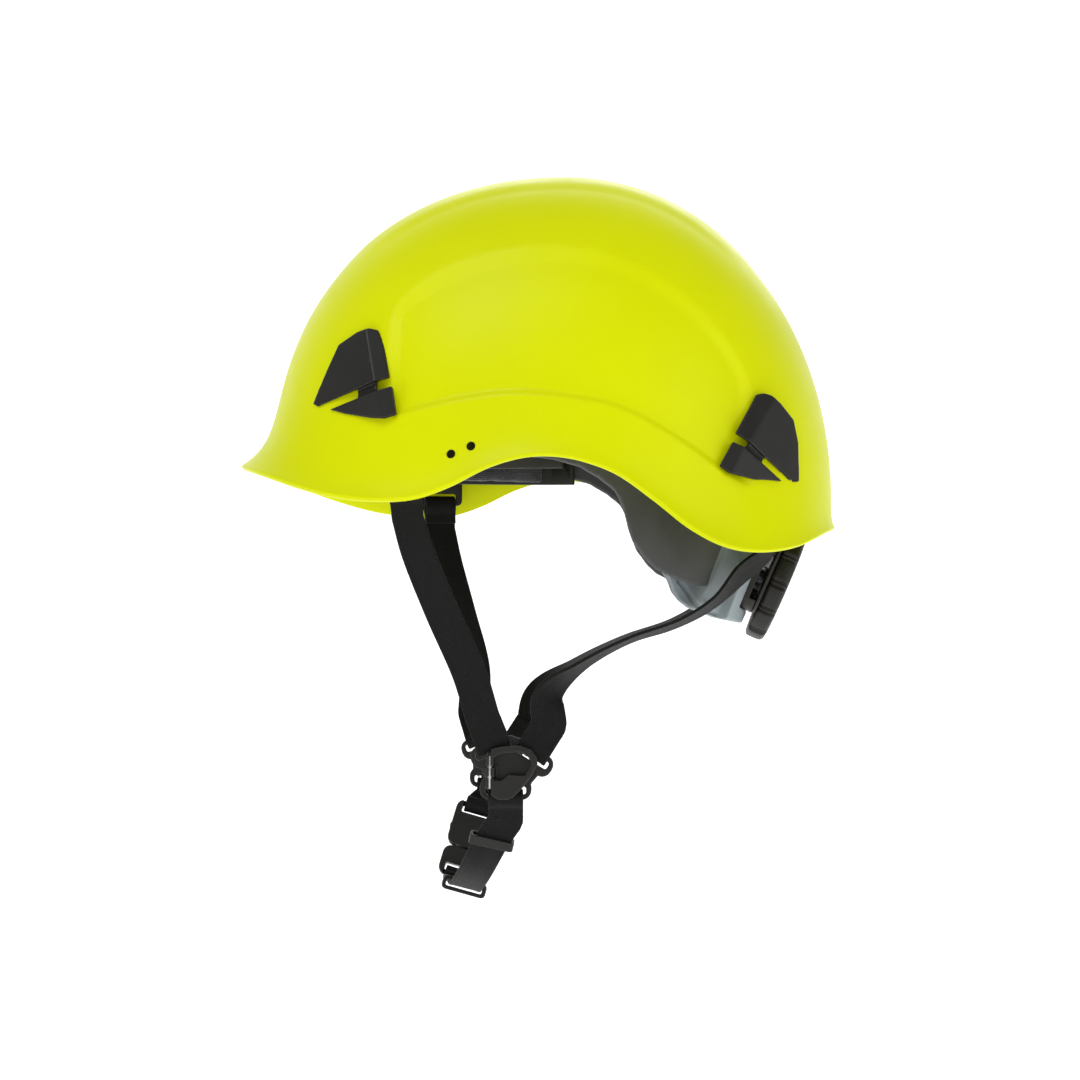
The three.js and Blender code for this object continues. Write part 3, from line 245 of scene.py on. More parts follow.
def woven_polyester(name, low, high):
    material, surface = start_material(
        name, roughness=0.72, ior=1.5, specular_ior_level=0.2, sheen_weight=0.06, sheen_roughness=0.45,
    )
    place = add_node(material, "ShaderNodeUVMap", [("uv_map", "strap")])
    parts = add_node(material, "ShaderNodeSeparateXYZ", links=[("Vector", place, "UV")])
    yarns_per_cm = 2 * math.pi * 10 / WEAVE_MM
    # Fold the strap into bands, so that the slant changes direction from band to band.
    band = add_math(material, "PINGPONG", (parts, "X"), BAND_CM)
    slant = add_math(material, "ADD", (band, 0), (parts, "Y"))
    wave = add_math(material, "SINE", (add_math(material, "MULTIPLY", (slant, 0), yarns_per_cm), 0))
    warp = add_math(material, "SINE", (add_math(material, "MULTIPLY", (parts, "X"), yarns_per_cm), 0))
    both = add_math(material, "MULTIPLY_ADD", (warp, 0), 0.35, (wave, 0))
    level = add_math(material, "MULTIPLY_ADD", (both, 0), 0.37, 0.5)
    where = add_node(material, "ShaderNodeTexCoord")
    fuzz = add_noise(material, where, 0.8, 3.0)
    height = add_math(material, "MULTIPLY_ADD", (fuzz, "Fac"), 0.4, (level, 0))
    colour = add_ramp(material, height, 0, [(0.15, low), (1.05, high)])
    connect(material, colour, "Color", surface, "Base Color")
    add_relief(material, surface, height, 0, 0.8, 0.22)
    return material


WEBBING = woven_polyester("polyester webbing, herringbone weave", "#070707", "#161616")
print("material:", WEBBING.name, "drawn at", WEAVE_MM, "mm")

# %% [markdown]
# ## Foam, knit and steel
# The crown liner is expanded foam: beads about 3 mm across, fused in a mould, dark and dull. The sweatband
# is a knitted polyester cover over soft foam, with fine ribs. Rivets, retainer rings, hinge pins and the
# knob's screw are zinc-plated steel, bright with a faint brushed grain. The metal keeps Blender's own IOR.

# %% Foam, knit and steel materials
def expanded_foam():
    material, surface = start_material("expanded foam, fused beads", roughness=0.85, ior=1.5)
    where = add_node(material, "ShaderNodeTexCoord")
    beads = add_cells(material, where, 3.2)
    tint = add_ramp(material, beads, "Distance", [(0.0, "#3A3B3D"), (0.6, "#242526")])
    connect(material, tint, "Color", surface, "Base Color")
    add_relief(material, surface, beads, "Distance", 0.6, 0.35, invert=True)
    return material


def ribbed_knit():
    material, surface = start_material(
        "knitted polyester over foam", roughness=0.88, ior=1.5, sheen_weight=0.35, sheen_roughness=0.5,
    )
    where = add_node(material, "ShaderNodeTexCoord")
    rib_scale = PER_MM / 1.6 / 2
    ribs = add_node(
        material, "ShaderNodeTexWave", [("Scale", rib_scale), ("bands_direction", "Z"), ("Distortion", 0.6)],
        [("Vector", where, "Object")],
    )
    loops = add_cells(material, where, 1.1)
    height = add_math(material, "MULTIPLY_ADD", (ribs, "Fac"), 0.6, (loops, "Distance"))
    tint = add_ramp(material, height, 0, [(0.1, "#1D1D1F"), (0.9, "#3B3B3E")])
    connect(material, tint, "Color", surface, "Base Color")
    add_relief(material, surface, height, 0, 0.6, 0.25)
    return material


def zinc_plated_steel():
    material, surface = start_material("steel, zinc plated", metallic=1.0)
    where = add_node(material, "ShaderNodeTexCoord")
    grain = add_noise(material, where, 0.7, 4.0)
    tint = add_ramp(material, grain, "Fac", [(0.3, "#A9ABAE"), (0.7, "#C4C6C8")])
    connect(material, tint, "Color", surface, "Base Color")
    dull = add_ramp(material, grain, "Fac", [(0.3, 0.26), (0.7, 0.4)])
    connect(material, dull, "Color", surface, "Roughness")
    return material


FOAM, KNIT, STEEL = expanded_foam(), ribbed_knit(), zinc_plated_steel()
print("materials:", ", ".join(m.name for m in (FOAM, KNIT, STEEL)))

# %% [markdown]
# ## Helpers for meshes
# Pieces made here start as arrays of points in millimetres. One function turns points and faces into an
# object that rides on its body and takes the place of the solid it stands for. Another freezes modifiers
# into the mesh, so that later steps see the finished shape.

# %% Mesh helpers
def place_piece(piece, material, body, slot, *replaced):
    piece.data.materials.clear()
    piece.data.materials.append(material)
    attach(piece, body)
    if replaced:
        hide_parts(*replaced)
    return piece


def make_object(name, points_mm, faces, smooth=True):
    mesh = bpy.data.meshes.new(name)
    mesh.from_pydata((np.asarray(points_mm, float) * MM).tolist(), [], faces)
    mesh.update()
    mesh.polygons.foreach_set("use_smooth", [smooth] * len(mesh.polygons))
    piece = bpy.data.objects.new(name, mesh)
    bpy.context.scene.collection.objects.link(piece)
    return piece


def freeze(piece):
    shape = piece.evaluated_get(bpy.context.evaluated_depsgraph_get())
    mesh = bpy.data.meshes.new_from_object(shape)
    piece.modifiers.clear()
    piece.data = mesh
    return piece


def cut_away(piece, *tools):
    """Subtracts each tool from the piece and deletes the tools."""
    for tool in tools:
        cutter = piece.modifiers.new("cut", "BOOLEAN")
        cutter.operation, cutter.solver, cutter.object = "DIFFERENCE", "EXACT", tool
    freeze(piece)
    for tool in tools:
        bpy.data.objects.remove(tool)
    return piece


def face_outwards(piece):
    work = bmesh.new()
    work.from_mesh(piece.data)
    bmesh.ops.recalc_face_normals(work, faces=work.faces)
    work.to_mesh(piece.data)
    work.free()
    return piece


def soften(piece, radius_mm, segments=3, angle=32):
    """Rounds every edge sharper than the angle, as a mould does, and shades the rest smooth."""
    weld = piece.modifiers.new("weld", "WELD")
    weld.merge_threshold = 0.02 * MM
    edge = piece.modifiers.new("edge", "BEVEL")
    edge.width, edge.segments = radius_mm * MM, segments
    edge.limit_method, edge.angle_limit = "ANGLE", math.radians(angle)
    edge.harden_normals = True
    piece.data.polygons.foreach_set("use_smooth", [True] * len(piece.data.polygons))
    return piece


def rod_mm(radius, start, end, sides=48):
    """A cylinder between two points, for cutting."""
    start, end = Vector(start), Vector(end)
    turned = (end - start).to_track_quat("Z", "Y").to_matrix().to_4x4()
    work = bmesh.new()
    bmesh.ops.create_cone(
        work, cap_ends=True, segments=sides, radius1=radius, radius2=radius, depth=(end - start).length,
        matrix=Matrix.Translation((start + end) / 2) @ turned,
    )
    mesh = bpy.data.meshes.new("rod")
    work.to_mesh(mesh)
    work.free()
    mesh.transform(Matrix.Scale(MM, 4))
    piece = bpy.data.objects.new("rod", mesh)
    bpy.context.scene.collection.objects.link(piece)
    return piece


# %% [markdown]
# ## Shell
# The shell is one moulding, 3 mm thick. Seen from above it is a rounded oval, and each height has its own
# length and width, so one formula gives the whole dome: an oval whose half lengths shrink towards the
# crown. Three details are added to it. The rim curls outwards, most at the brim. A panel on each side is
# sunk 1.8 mm below a broad arch and above a sharper ledge. A low spine runs over the crown. A mesh of a few
# hundred columns follows all this closely enough that no subdivision is needed.

# %% Shell surface
CROWN_X, CROWN_Z = 2.5, 141.3
WALL = 3.0
OVAL_POWER = 2.2
# Each half of the dome: how far it reaches, the height it starts to shrink from, and two powers for its
# curve.
FRONT_HALF = (141, -10, 2.4, 2.1)
REAR_HALF = (131, -15, 2.05, 2.05)
SIDE_HALF = (103.5, -5, 2.3, 2.2)
RIM_LEVEL = -20.0
# How far the rim stands out at the brim, the nape and the sides, and how high above the rim it starts to.
BRIM_FLARE, NAPE_FLARE, SIDE_FLARE = 15.5, 1.6, 4.5
BRIM_CURL, NAPE_CURL, SIDE_CURL = 9.5, 2.6, 9.5
PANEL_SUNK, SPINE_HIGH = 1.8, 1.1
RIM = [
    (-154, 2.4), (-134, -4.8), (-117, -10.7), (-100, -15.2), (-80, -17.6), (-62, -17), (-46, -12),
    (-28, -3.6), (-12, 0.9), (2, 1.6), (16, -0.6), (33, -7), (50, -18.8), (66, -31), (82, -38.8), (98, -40.8),
    (115, -37.9), (131, -30.2), (135.5, -28.2),
]
ARCH = [
    (-80, 40), (-76, 60.3), (-69.3, 74.4), (-50.7, 88.1), (-22.9, 97), (4.7, 99.1), (32.3, 93.7),
    (59.7, 77.9), (77.9, 59.5), (89.4, 41.3), (94.9, 29.9), (98, 12),
]
LEDGE = [
    (-80, 17), (-69, 20.1), (-44.3, 25.8), (-16.9, 29), (5.6, 27.5), (32.5, 22.1), (59.4, 8), (78.5, -5.2),
    (98, -16),
]


def through(points, x):
    """Heights of the smooth curve through (x, height) points."""
    xs, ys = np.array(points, float).T
    slopes = np.gradient(ys, xs)
    slopes[1:-1] = (ys[2:] - ys[:-2]) / (xs[2:] - xs[:-2])
    i = np.clip(np.searchsorted(xs, x, "right") - 1, 0, len(xs) - 2)
    step, rise = xs[i + 1] - xs[i], ys[i + 1] - ys[i]
    t = np.clip((x - xs[i]) / step, 0, 1)
    bend = t * (1 - t) ** 2 * slopes[i] - t * t * (1 - t) * slopes[i + 1]
    return ys[i] + t * t * (3 - 2 * t) * rise + step * bend


def smoothstep(low, high, value):
    t = np.clip((value - low) / (high - low), 0, 1)
    return t * t * (3 - 2 * t)


def dome(z, reach, base, drop, rounding):
    up = np.clip((z - base) / (CROWN_Z - base), 0, 1)
    return reach * (1 - up ** drop) ** (1 / rounding)


def signed_power(value, power):
    return np.sign(value) * np.abs(value) ** power


def dome_point(turn, down):
    """turn is 0 at the brim and pi at the back, down is 0 at the crown and 1 at the rim."""
    c, s = np.cos(turn), np.sin(turn)
    along, across = signed_power(c, 2 / OVAL_POWER), signed_power(s, 2 / OVAL_POWER)

    def reach(z):
        rear = dome(z, *REAR_HALF)
        return rear + (dome(z, *FRONT_HALF) - rear) * (1 + c) / 2

    flare = np.where(c > 0, BRIM_FLARE, NAPE_FLARE) * c * c + SIDE_FLARE * s * s
    curl = np.where(c > 0, BRIM_CURL, NAPE_CURL * c * c + SIDE_CURL * s * s)
    low = reach(RIM_LEVEL)
    rim = through(RIM, CROWN_X - along * (low + flare))
    z = rim + (CROWN_Z - rim) * np.cos(down * np.pi / 2)
    out = np.stack([-c / low, s / SIDE_HALF[0], 0 * c], -1)
    out /= np.linalg.norm(out, axis=-1, keepdims=True)
    point = np.stack([CROWN_X - along * reach(z), across * dome(z, *SIDE_HALF), z], -1)
    return point + out * (flare * np.exp(-(z - rim) / curl))[..., None]


def dome_normal(turn, down):
    step, down = 0.004, np.maximum(down, 0.02)
    around = dome_point(turn + step, down) - dome_point(turn - step, down)
    fall = dome_point(turn, down + step) - dome_point(turn, down - step)
    normal = np.cross(around, fall)
    return normal / np.linalg.norm(normal, axis=-1, keepdims=True)


def relief(p):
    x, y, z = p[..., 0], p[..., 1], p[..., 2]
    below = smoothstep(-1, 9, through(ARCH, x) - z)
    above = smoothstep(-0.6, 2.2, z - through(LEDGE, x))
    ends = smoothstep(-74, -69, x) * (1 - smoothstep(86, 94, x))
    spine = (1 - smoothstep(37, 47, np.abs(y))) * smoothstep(88, 118, z)
    return SPINE_HIGH * spine - PANEL_SUNK * below * above * ends


def shell_point(turn, down, inset=0.0):
    point = dome_point(turn, down)
    return point + dome_normal(turn, down) * (relief(point) - inset)[..., None]


def down_at(turn, z):
    rim = dome_point(turn, 1.0)[..., 2]
    return np.arccos(np.clip((z - rim) / (CROWN_Z - rim), -1, 1)) * 2 / np.pi


crown, brim_tip = (dome_point(np.array(0.0), np.array(down)).round(1) for down in (0.0, 1.0))
print("crown at", crown, "brim tip at", brim_tip)

# %% Shell mesh
def grid_faces(rows, columns, first=0):
    """Quads between closed rings of points."""
    faces = []
    for r in range(rows - 1):
        for i in range(columns):
            a, b = first + r * columns + i, first + r * columns + (i + 1) % columns
            faces.append((a, b, b + columns, a + columns))
    return faces


def rounded_edge(outer, inner, edge):
    """Rings that round the lower edge, from the last outer ring to the last inner one."""
    middle, half = (outer[-1] + inner[-1]) / 2, (outer[-1] - inner[-1]) / 2
    fall = outer[-1] - outer[-2]
    fall /= np.linalg.norm(fall, axis=-1, keepdims=True)
    thick = np.linalg.norm(half, axis=-1, keepdims=True)
    arc = np.linspace(0, np.pi, 7)[1:-1]
    return [middle + half * math.cos(a) + fall * thick * edge * math.sin(a) for a in arc]


def make_dome(name, columns, rows, outside, inside, last_down, edge=0.5):
    """A dome with a rounded lower edge: down the outside, round the edge, and up the inside to the crown."""
    turn = np.linspace(0, 2 * np.pi, columns, endpoint=False)
    last = last_down(turn)
    share = 1 - (1 - np.linspace(0, 1, rows + 1)[1:]) ** 1.5
    outer = np.array([outside(turn, s * last) for s in share])
    inner = np.array([inside(turn, s * last) for s in share])
    rings = np.concatenate([outer, rounded_edge(outer, inner, edge), inner[::-1]])
    points = rings.reshape(-1, 3)
    faces = grid_faces(len(rings), columns)
    top, under = outside(np.zeros(1), np.zeros(1)), inside(np.zeros(1), np.zeros(1))
    points = np.concatenate([points, top, under])
    last_ring = (len(rings) - 1) * columns
    for i in range(columns):
        faces.append((len(points) - 2, (i + 1) % columns, i))
        faces.append((len(points) - 1, last_ring + i, last_ring + (i + 1) % columns))
    return face_outwards(make_object(name, points, faces))


shell = make_dome(
    "shell_moulding", 432, 150, lambda t, d: shell_point(t, d), lambda t, d: shell_point(t, d, WALL),
    lambda t: np.ones_like(t),
)
ACCESSORY_HOLES, HOLE_RADIUS, BESIDE = [(-43.7, 1.8), (-34.5, 5.2)], 2.1, 130
cut_away(shell, *[rod_mm(HOLE_RADIUS, (x, -BESIDE, z), (x, BESIDE, z)) for x, z in ACCESSORY_HOLES])
place_piece(shell, SHELL_ABS, "helmet", "shell", "shell")
print("shell:", len(shell.data.vertices), "points")

# %% [markdown]
# ## Impact liner
# Inside the crown sits a foam dome 13 mm thick. It follows the shell with a small gap, so the same surface
# serves again with larger insets, cut off level above the headband.

# %% Impact liner
LINER_OUT, LINER_THICK, LINER_LOW = WALL + 0.9, 13.0, 46.0


def inset_point(turn, down, inset):
    return dome_point(turn, down) + dome_normal(turn, down) * -(np.asarray(inset) + 0 * turn)[..., None]


liner = make_dome(
    "impact_liner_foam", 240, 48,
    lambda t, d: inset_point(t, d, LINER_OUT + 1.8 * smoothstep(0.1, 0.3, d)),
    lambda t, d: inset_point(t, d, LINER_OUT + LINER_THICK),
    lambda t: down_at(t, LINER_LOW), edge=0.15,
)
place_piece(liner, FOAM, "helmet", "liner_foam", "impact_liner")
print("liner:", len(liner.data.vertices), "points")

# %% [markdown]
# ## Moulded pieces from their solids
# A moulded piece has no sharp corner anywhere: the tool maker rounds them so that the plastic flows and comes
# out. The solids here are faceted, so a copy of each is rebuilt from small voxels and then smoothed a little,
# which rounds every corner by about the voxel size times the square root of the smoothing steps. Thin plates
# keep their thickness better with a plain bevel, so they get that instead.

# %% Copies with moulded corners
def copy_solid(node, name):
    source = nodes[node]
    piece = bpy.data.objects.new(name, source.data.copy())
    piece.data.transform(source.matrix_world)
    piece.data.materials.clear()
    bpy.context.scene.collection.objects.link(piece)
    return piece


def voxel_rounded(piece, voxel_mm, steps):
    remesh = piece.modifiers.new("voxels", "REMESH")
    remesh.mode, remesh.voxel_size, remesh.use_smooth_shade = "VOXEL", voxel_mm * MM, True
    smooth = piece.modifiers.new("smooth", "SMOOTH")
    smooth.factor, smooth.iterations = 0.5, steps
    return freeze(piece)


def moulded(node, material, body, slot, voxel_mm=0.5, steps=5):
    piece = voxel_rounded(copy_solid(node, node + "_moulding"), voxel_mm, steps)
    return place_piece(piece, material, body, slot, node)


def bevelled(node, material, body, slot, radius_mm, segments=3):
    piece = copy_solid(node, node + "_moulding")
    soften(piece, radius_mm, segments)
    return place_piece(piece, material, body, slot, node)


SIDES = ("left", "right")
ENDS = ("front", "rear")

# %% [markdown]
# ## Headlamp clips
# Four clips hold a headlamp's elastic: a hook above, a wedge below, and a slot between them where the elastic
# runs. They are solid black nylon with flat facets that meet in soft creases, so voxels of half a millimetre
# and a few smoothing steps give the right edge radius of a little under a millimetre.

# %% Headlamp clips
for end in ENDS:
    for side in SIDES:
        moulded(f"lamp_clip_{end}_{side}", BLACK_NYLON, "helmet", "black_nylon", 0.45, 7)
        bevelled(f"clip_retainer_{end}_{side}", STEEL, "helmet", "steel", 0.25, 2)
print("clips: 4, on steel rings inside the shell")

# %% [markdown]
# ## Headband, hangers and side plates
# The headband is a strip of nylon that rings the head, hung from six hangers. The side plates are rigid
# charcoal covers riveted over its ends; their edges are rolled by the mould, which shows as a pale line where
# the light catches it. Voxels of 0.7 mm and some smoothing round them by about a millimetre.

# %% Headband and plates
bevelled("headband", BLACK_NYLON, "helmet", "black_nylon", 0.6)
for place in ("front", "side", "rear"):
    for side in SIDES:
        bevelled(f"hanger_{place}_{side}", BLACK_NYLON, "helmet", "black_nylon", 0.5)
for side in SIDES:
    moulded(f"side_plate_{side}", SLATE_NYLON, "helmet", "slate_plastic", 0.7, 8)
    bevelled(f"plate_rivet_{side}", STEEL, "helmet", "steel", 0.35)
print("headband, 6 hangers, 2 plates")

# %% [markdown]
# ## Sweatband
# A strip of soft foam in a knitted cover is pressed into the front of the headband. It is a pad, so it should
# swell between its edges. The strip is remeshed and Blender's cloth inflates it a little with pressure and no
# gravity. Every point may move only about a millimetre, so that the pad stays in its place.

# %% Sweatband
PAD_VOXEL, PAD_PRESSURE, PAD_FRAMES, PAD_SWELL = 2.2, 4.0, 14, 1.1


def inflate(piece, frames, pressure, most_mm):
    before = np.empty(len(piece.data.vertices) * 3)
    piece.data.vertices.foreach_get("co", before)
    cloth = piece.modifiers.new("cloth", "CLOTH")
    cloth.settings.use_pressure = True
    cloth.settings.uniform_pressure_force = pressure
    cloth.settings.effector_weights.gravity = 0.0
    cloth.settings.quality = 5
    for number in range(1, frames + 1):
        bpy.context.scene.frame_set(number)
    freeze(piece)
    after = np.empty_like(before)
    piece.data.vertices.foreach_get("co", after)
    move = (after - before).reshape(-1, 3)
    size = np.linalg.norm(move, axis=1, keepdims=True)
    move *= np.minimum(1, most_mm * MM / np.maximum(size, 1e-9))
    piece.data.vertices.foreach_set("co", before + move.ravel())
    bpy.context.scene.frame_set(1)
    return size.max()


sweatband = copy_solid("sweatband", "sweatband_pad")
voxel_rounded(sweatband, PAD_VOXEL, 3)
swelled = inflate(sweatband, PAD_FRAMES, PAD_PRESSURE, PAD_SWELL)
print("sweatband swelled by", round(swelled / MM, 2), "mm")
level = sweatband.modifiers.new("rounder", "SUBSURF")
level.levels = level.render_levels = 1
freeze(sweatband)
place_piece(sweatband, KNIT, "helmet", "foam", "sweatband")

# %% [markdown]
# ## Nape cradle
# The pale cradle wraps the nape and carries the ratchet in a thick pad. Its arms run forward inside the side
# plates. Each side has a shallow channel down the pad that stiffens it, and a narrow crease near its lower
# edge. The wall is rebuilt from voxels for soft edges, then both grooves are pressed into it.

# %% Nape cradle
# Each groove is a line seen from the side, its half width and its depth.
GROOVES = [
    ([(85.6, -40.2), (76.7, -58.5), (73.2, -62.9)], 3.6, 1.5),
    ([(59.5, -55.1), (65.0, -63.4), (67.3, -65.6), (70.0, -68.4), (80.1, -71.7)], 1.3, 1.9),
]

# The grooves are pressed towards the middle of the head, and stop short of the plain middle of the nape.
HEAD_MIDDLE, PLAIN_HALF = (20.0, 0.0), 20


def line_distance(places, line):
    """The distance of each place from a line with corners."""
    nearest = np.full(len(places), np.inf)
    for a, b in zip(np.array(line)[:-1], np.array(line)[1:]):
        along = b - a
        offset = places - a
        share = np.clip(offset @ along / (along @ along), 0, 1)
        nearest = np.minimum(nearest, np.linalg.norm(offset - share[:, None] * along, axis=1))
    return nearest


def press_grooves(piece):
    flat = np.empty(len(piece.data.vertices) * 3)
    piece.data.vertices.foreach_get("co", flat)
    points = flat.reshape(-1, 3) / MM
    inward = np.array(HEAD_MIDDLE) - points[:, :2]
    inward /= np.linalg.norm(inward, axis=1, keepdims=True)
    for line, half_width, deep in GROOVES:
        distance = line_distance(points[:, [0, 2]], line)
        beside = np.abs(points[:, 1]) > PLAIN_HALF
        push = deep * (1 - smoothstep(0.2, 1.0, distance / half_width)) * beside
        points[:, :2] += inward * push[:, None]
    piece.data.vertices.foreach_set("co", (points * MM).ravel())


cradle = voxel_rounded(copy_solid("nape_cradle", "nape_cradle_moulding"), 0.8, 6)
press_grooves(cradle)
place_piece(cradle, GREY_COPOLYMER, "nape", "grey_plastic", "nape_cradle")
print("nape cradle:", len(cradle.data.vertices), "points")

# %% [markdown]
# ## Ratchet and knob
# Two toothed racks run through a flat housing and a pinion on the size knob draws them together. The knob is
# gripped at its rim, which has twelve long pads with a grooved bead between them. A rim like that is easiest
# as a turned profile whose radius dips with the angle.

# %% Ratchet and knob
KNOB_AT, KNOB_TILT, KNOB_RADIUS, KNOB_PADS = (106.8, 0, -56.4), 23.6, 28.0, 12
GROOVE_DEEP, BEAD_HIGH, BEAD_HALF = 1.5, 1.0, 0.75
# The knob's outline as radius, height and how much of the grooves' depth it takes.
KNOB_PROFILE = [
    (2.25, -4.7, 0), (12, -4.7, 0), (20, -4.7, 0), (24.5, -4.7, 0.2), (26.2, -4.6, 0.7), (27.3, -4.15, 1),
    (27.9, -3.4, 1), (28, -2.4, 1), (28.05, 0, 1), (28, 2.2, 1), (27.8, 3.2, 1), (27.2, 4.0, 1),
    (26.2, 4.5, 0.8), (24.8, 4.7, 0.35), (22.4, 4.7, 0), (20.2, 4.6, 0), (19.2, 4.2, 0), (18.5, 3.5, 0),
    (17.6, 3.2, 0), (11, 3.0, 0), (5.2, 3.0, 0), (4.5, 2.8, 0), (4.3, 2.4, 0), (4.3, 0.6, 0), (2.25, 0.6, 0),
]


def pad_gap(angle):
    """How far the rim dips at an angle: a groove with a round bead in its middle."""
    pitch = 2 * math.pi * KNOB_RADIUS / KNOB_PADS
    share = (angle / (2 * np.pi) * KNOB_PADS) % 1
    distance = np.minimum(share, 1 - share) * pitch
    groove, bead = 1 - smoothstep(1.0, 2.6, distance), np.exp(-((distance / BEAD_HALF) ** 2))
    return GROOVE_DEEP * groove - BEAD_HIGH * bead


def on_nape(points):
    turned = Matrix.Rotation(math.radians(90 + KNOB_TILT), 3, "Y")
    return points @ np.array(turned).T + KNOB_AT


angles = np.linspace(0, 2 * np.pi, 480, endpoint=False)
rings = []
for radius, height, dip in KNOB_PROFILE:
    r = radius - dip * pad_gap(angles)
    rings.append(np.stack([r * np.cos(angles), r * np.sin(angles), np.full_like(r, height)], 1))
count, around = len(rings), len(angles)
faces = []
for i in range(count):
    for j in range(around):
        here, there = i * around, (i + 1) % count * around
        beyond = (j + 1) % around
        faces.append((here + j, here + beyond, there + beyond, there + j))
knob = face_outwards(make_object("size_knob_grip", on_nape(np.concatenate(rings)), faces))
place_piece(knob, BLACK_NYLON, "knob", "black_nylon", "size_knob")
bevelled("ratchet_housing", BLACK_NYLON, "nape", "black_nylon", 0.8, 4)
bevelled("ratchet_cover", BLACK_NYLON, "nape", "black_nylon", 0.5)
bevelled("knob_screw", STEEL, "knob", "steel", 0.25)
bevelled("knob_pinion", STEEL, "knob", "steel", 0.12, 2)
for side in SIDES:
    bevelled(f"rack_{side}", SLATE_NYLON, f"rack_{side}_body", "slate_plastic", 0.15, 2)
print("knob:", len(knob.data.vertices), "points")

# %% [markdown]
# ## Strap anchors, dividers and levers
# The chin strap hangs from four anchors inside the shell. Below each ear a divider gathers the straps, and a
# D-shaped lever with a thumb plate locks them. These are small, thick mouldings that fingers work all day, so
# every corner is well rounded.

# %% Anchors, dividers and levers
for side in SIDES:
    for end in ENDS:
        bevelled(f"strap_anchor_{end}_{side}", BLACK_NYLON, "helmet", "black_nylon", 0.5)
    moulded(f"strap_divider_{side}", BLACK_NYLON, "helmet", "black_nylon", 0.4, 4)
    moulded(f"divider_lever_{side}", BLACK_NYLON, f"lever_{side}_body", "black_nylon", 0.35, 5)
    bevelled(f"lever_pin_{side}", STEEL, "helmet", "steel", 0.2, 2)
print("anchors: 4, dividers: 2, levers: 2")

# %% [markdown]
# ## Buckle, keeper and slider
# The side-release buckle has a hollow half with windows and a half with a tongue, and two spring prongs that
# click out through the windows. A keeper and a slider are flat sleeves that hold the strap's layers together.

# %% Buckle, keeper and slider
moulded("buckle_female", BLACK_NYLON, "helmet", "black_nylon", 0.4, 4)
moulded("buckle_male", BLACK_NYLON, "chin_strap_body", "black_nylon", 0.4, 4)
for end in ENDS:
    bevelled(f"buckle_prong_{end}", BLACK_NYLON, f"prong_{end}_body", "black_nylon", 0.5)
moulded("strap_keeper", BLACK_NYLON, "helmet", "black_nylon", 0.3, 4)
moulded("chin_slider", BLACK_NYLON, "chin_strap_body", "black_nylon", 0.3, 4)
print("buckle: 4 mouldings, 2 sleeves")

# %% [markdown]
# ## Webbing
# Webbing is a flat woven strip with a thicker, rounded edge, the selvedge. It bends easily out of its plane
# and hardly at all within it, so a strip swept along a smooth line, turning with its own outer face, looks
# right. Each strap goes round a bar at its end and is sewn back on itself. The sweep below gives every
# point a UV in centimetres, across and along, which is what the weave's material reads.

# %% Webbing helpers
BAR, GAP = 2.6, 0.35
WEB = (16.0, 1.5)  # width and thickness
CRADLE_WEB = (16.0, 1.2)
LOOP_STEPS, STRAP_STEP = 18, 1.1


def unit(vector):
    return vector / np.linalg.norm(vector)


def square(normal, along):
    return unit(normal - along * (normal @ along))


def spline(rows, share):
    """A centripetal Catmull-Rom curve through rows, at shares of its spans."""
    rows = np.asarray(rows, float)
    ends = np.vstack([2 * rows[0] - rows[1], rows, 2 * rows[-1] - rows[-2]])
    place = np.clip(share, 0, 1) * (len(rows) - 1)
    i = np.minimum(place.astype(int), len(rows) - 2)
    w = (place - i)[:, None]
    a, b, c, d = (ends[i + k] for k in range(4))
    t0, t1, t2 = (np.linalg.norm(q - p, axis=1, keepdims=True) ** 0.5 for p, q in ((a, b), (b, c), (c, d)))
    t1 = np.where(t1 < 1e-4, 1, t1)
    t0, t2 = np.where(t0 < 1e-4, t1, t0), np.where(t2 < 1e-4, t1, t2)
    m1 = ((b - a) / t0 - (c - a) / (t0 + t1) + (c - b) / t1) * t1
    m2 = ((c - b) / t1 - (d - b) / (t1 + t2) + (d - c) / t2) * t1
    return b + m1 * w + (3 * (c - b) - 2 * m1 - m2) * w ** 2 + (2 * (b - c) + m1 + m2) * w ** 3


def smooth_run(controls, steps):
    controls = np.array(controls, float)
    share = np.linspace(0, 1, steps + 1)
    return np.hstack([spline(controls[:, :3], share), spline(controls[:, 3:], share)])


def loop_round(bar, away, normal, tail, thick):
    """Rows of point and normal for a turn round a bar, from the sewn end to the strap."""
    r = BAR / math.sqrt(2) + 1.5 * GAP + thick / 2
    leg = max(tail * 0.25, BAR / 2 + 0.8)
    near = max(tail * 0.6, leg + 1)

    def row(along, out, face):
        return np.concatenate([bar + away * along + normal * out, face])

    rows = [row(tail, -thick * 0.6, -normal), row(near, -thick * 0.9, -normal), row(leg, -r, -normal)]
    for angle in np.linspace(0, math.pi, LOOP_STEPS):
        face = normal * -math.cos(angle) - away * math.sin(angle)
        rows.append(row(-r * math.sin(angle), -r * math.cos(angle), face))
    rows += [row(leg, r, normal), row(near, thick * 0.9, normal), row(tail, thick * 0.6, normal)]
    return np.array(rows)


def sewn_end(bar, axis, following, facing, tail):
    bar, axis, following, facing = (np.array(v, float) for v in (bar, axis, following, facing))
    away = square(following - bar, axis)
    normal = np.cross(away, axis)
    normal /= np.linalg.norm(normal)
    if normal @ facing < 0:
        normal = -normal
    leave = np.concatenate([bar + away * (tail + 3) + normal * WEB[1] * 0.6, normal])
    return loop_round(bar, away, normal, tail, WEB[1]), leave


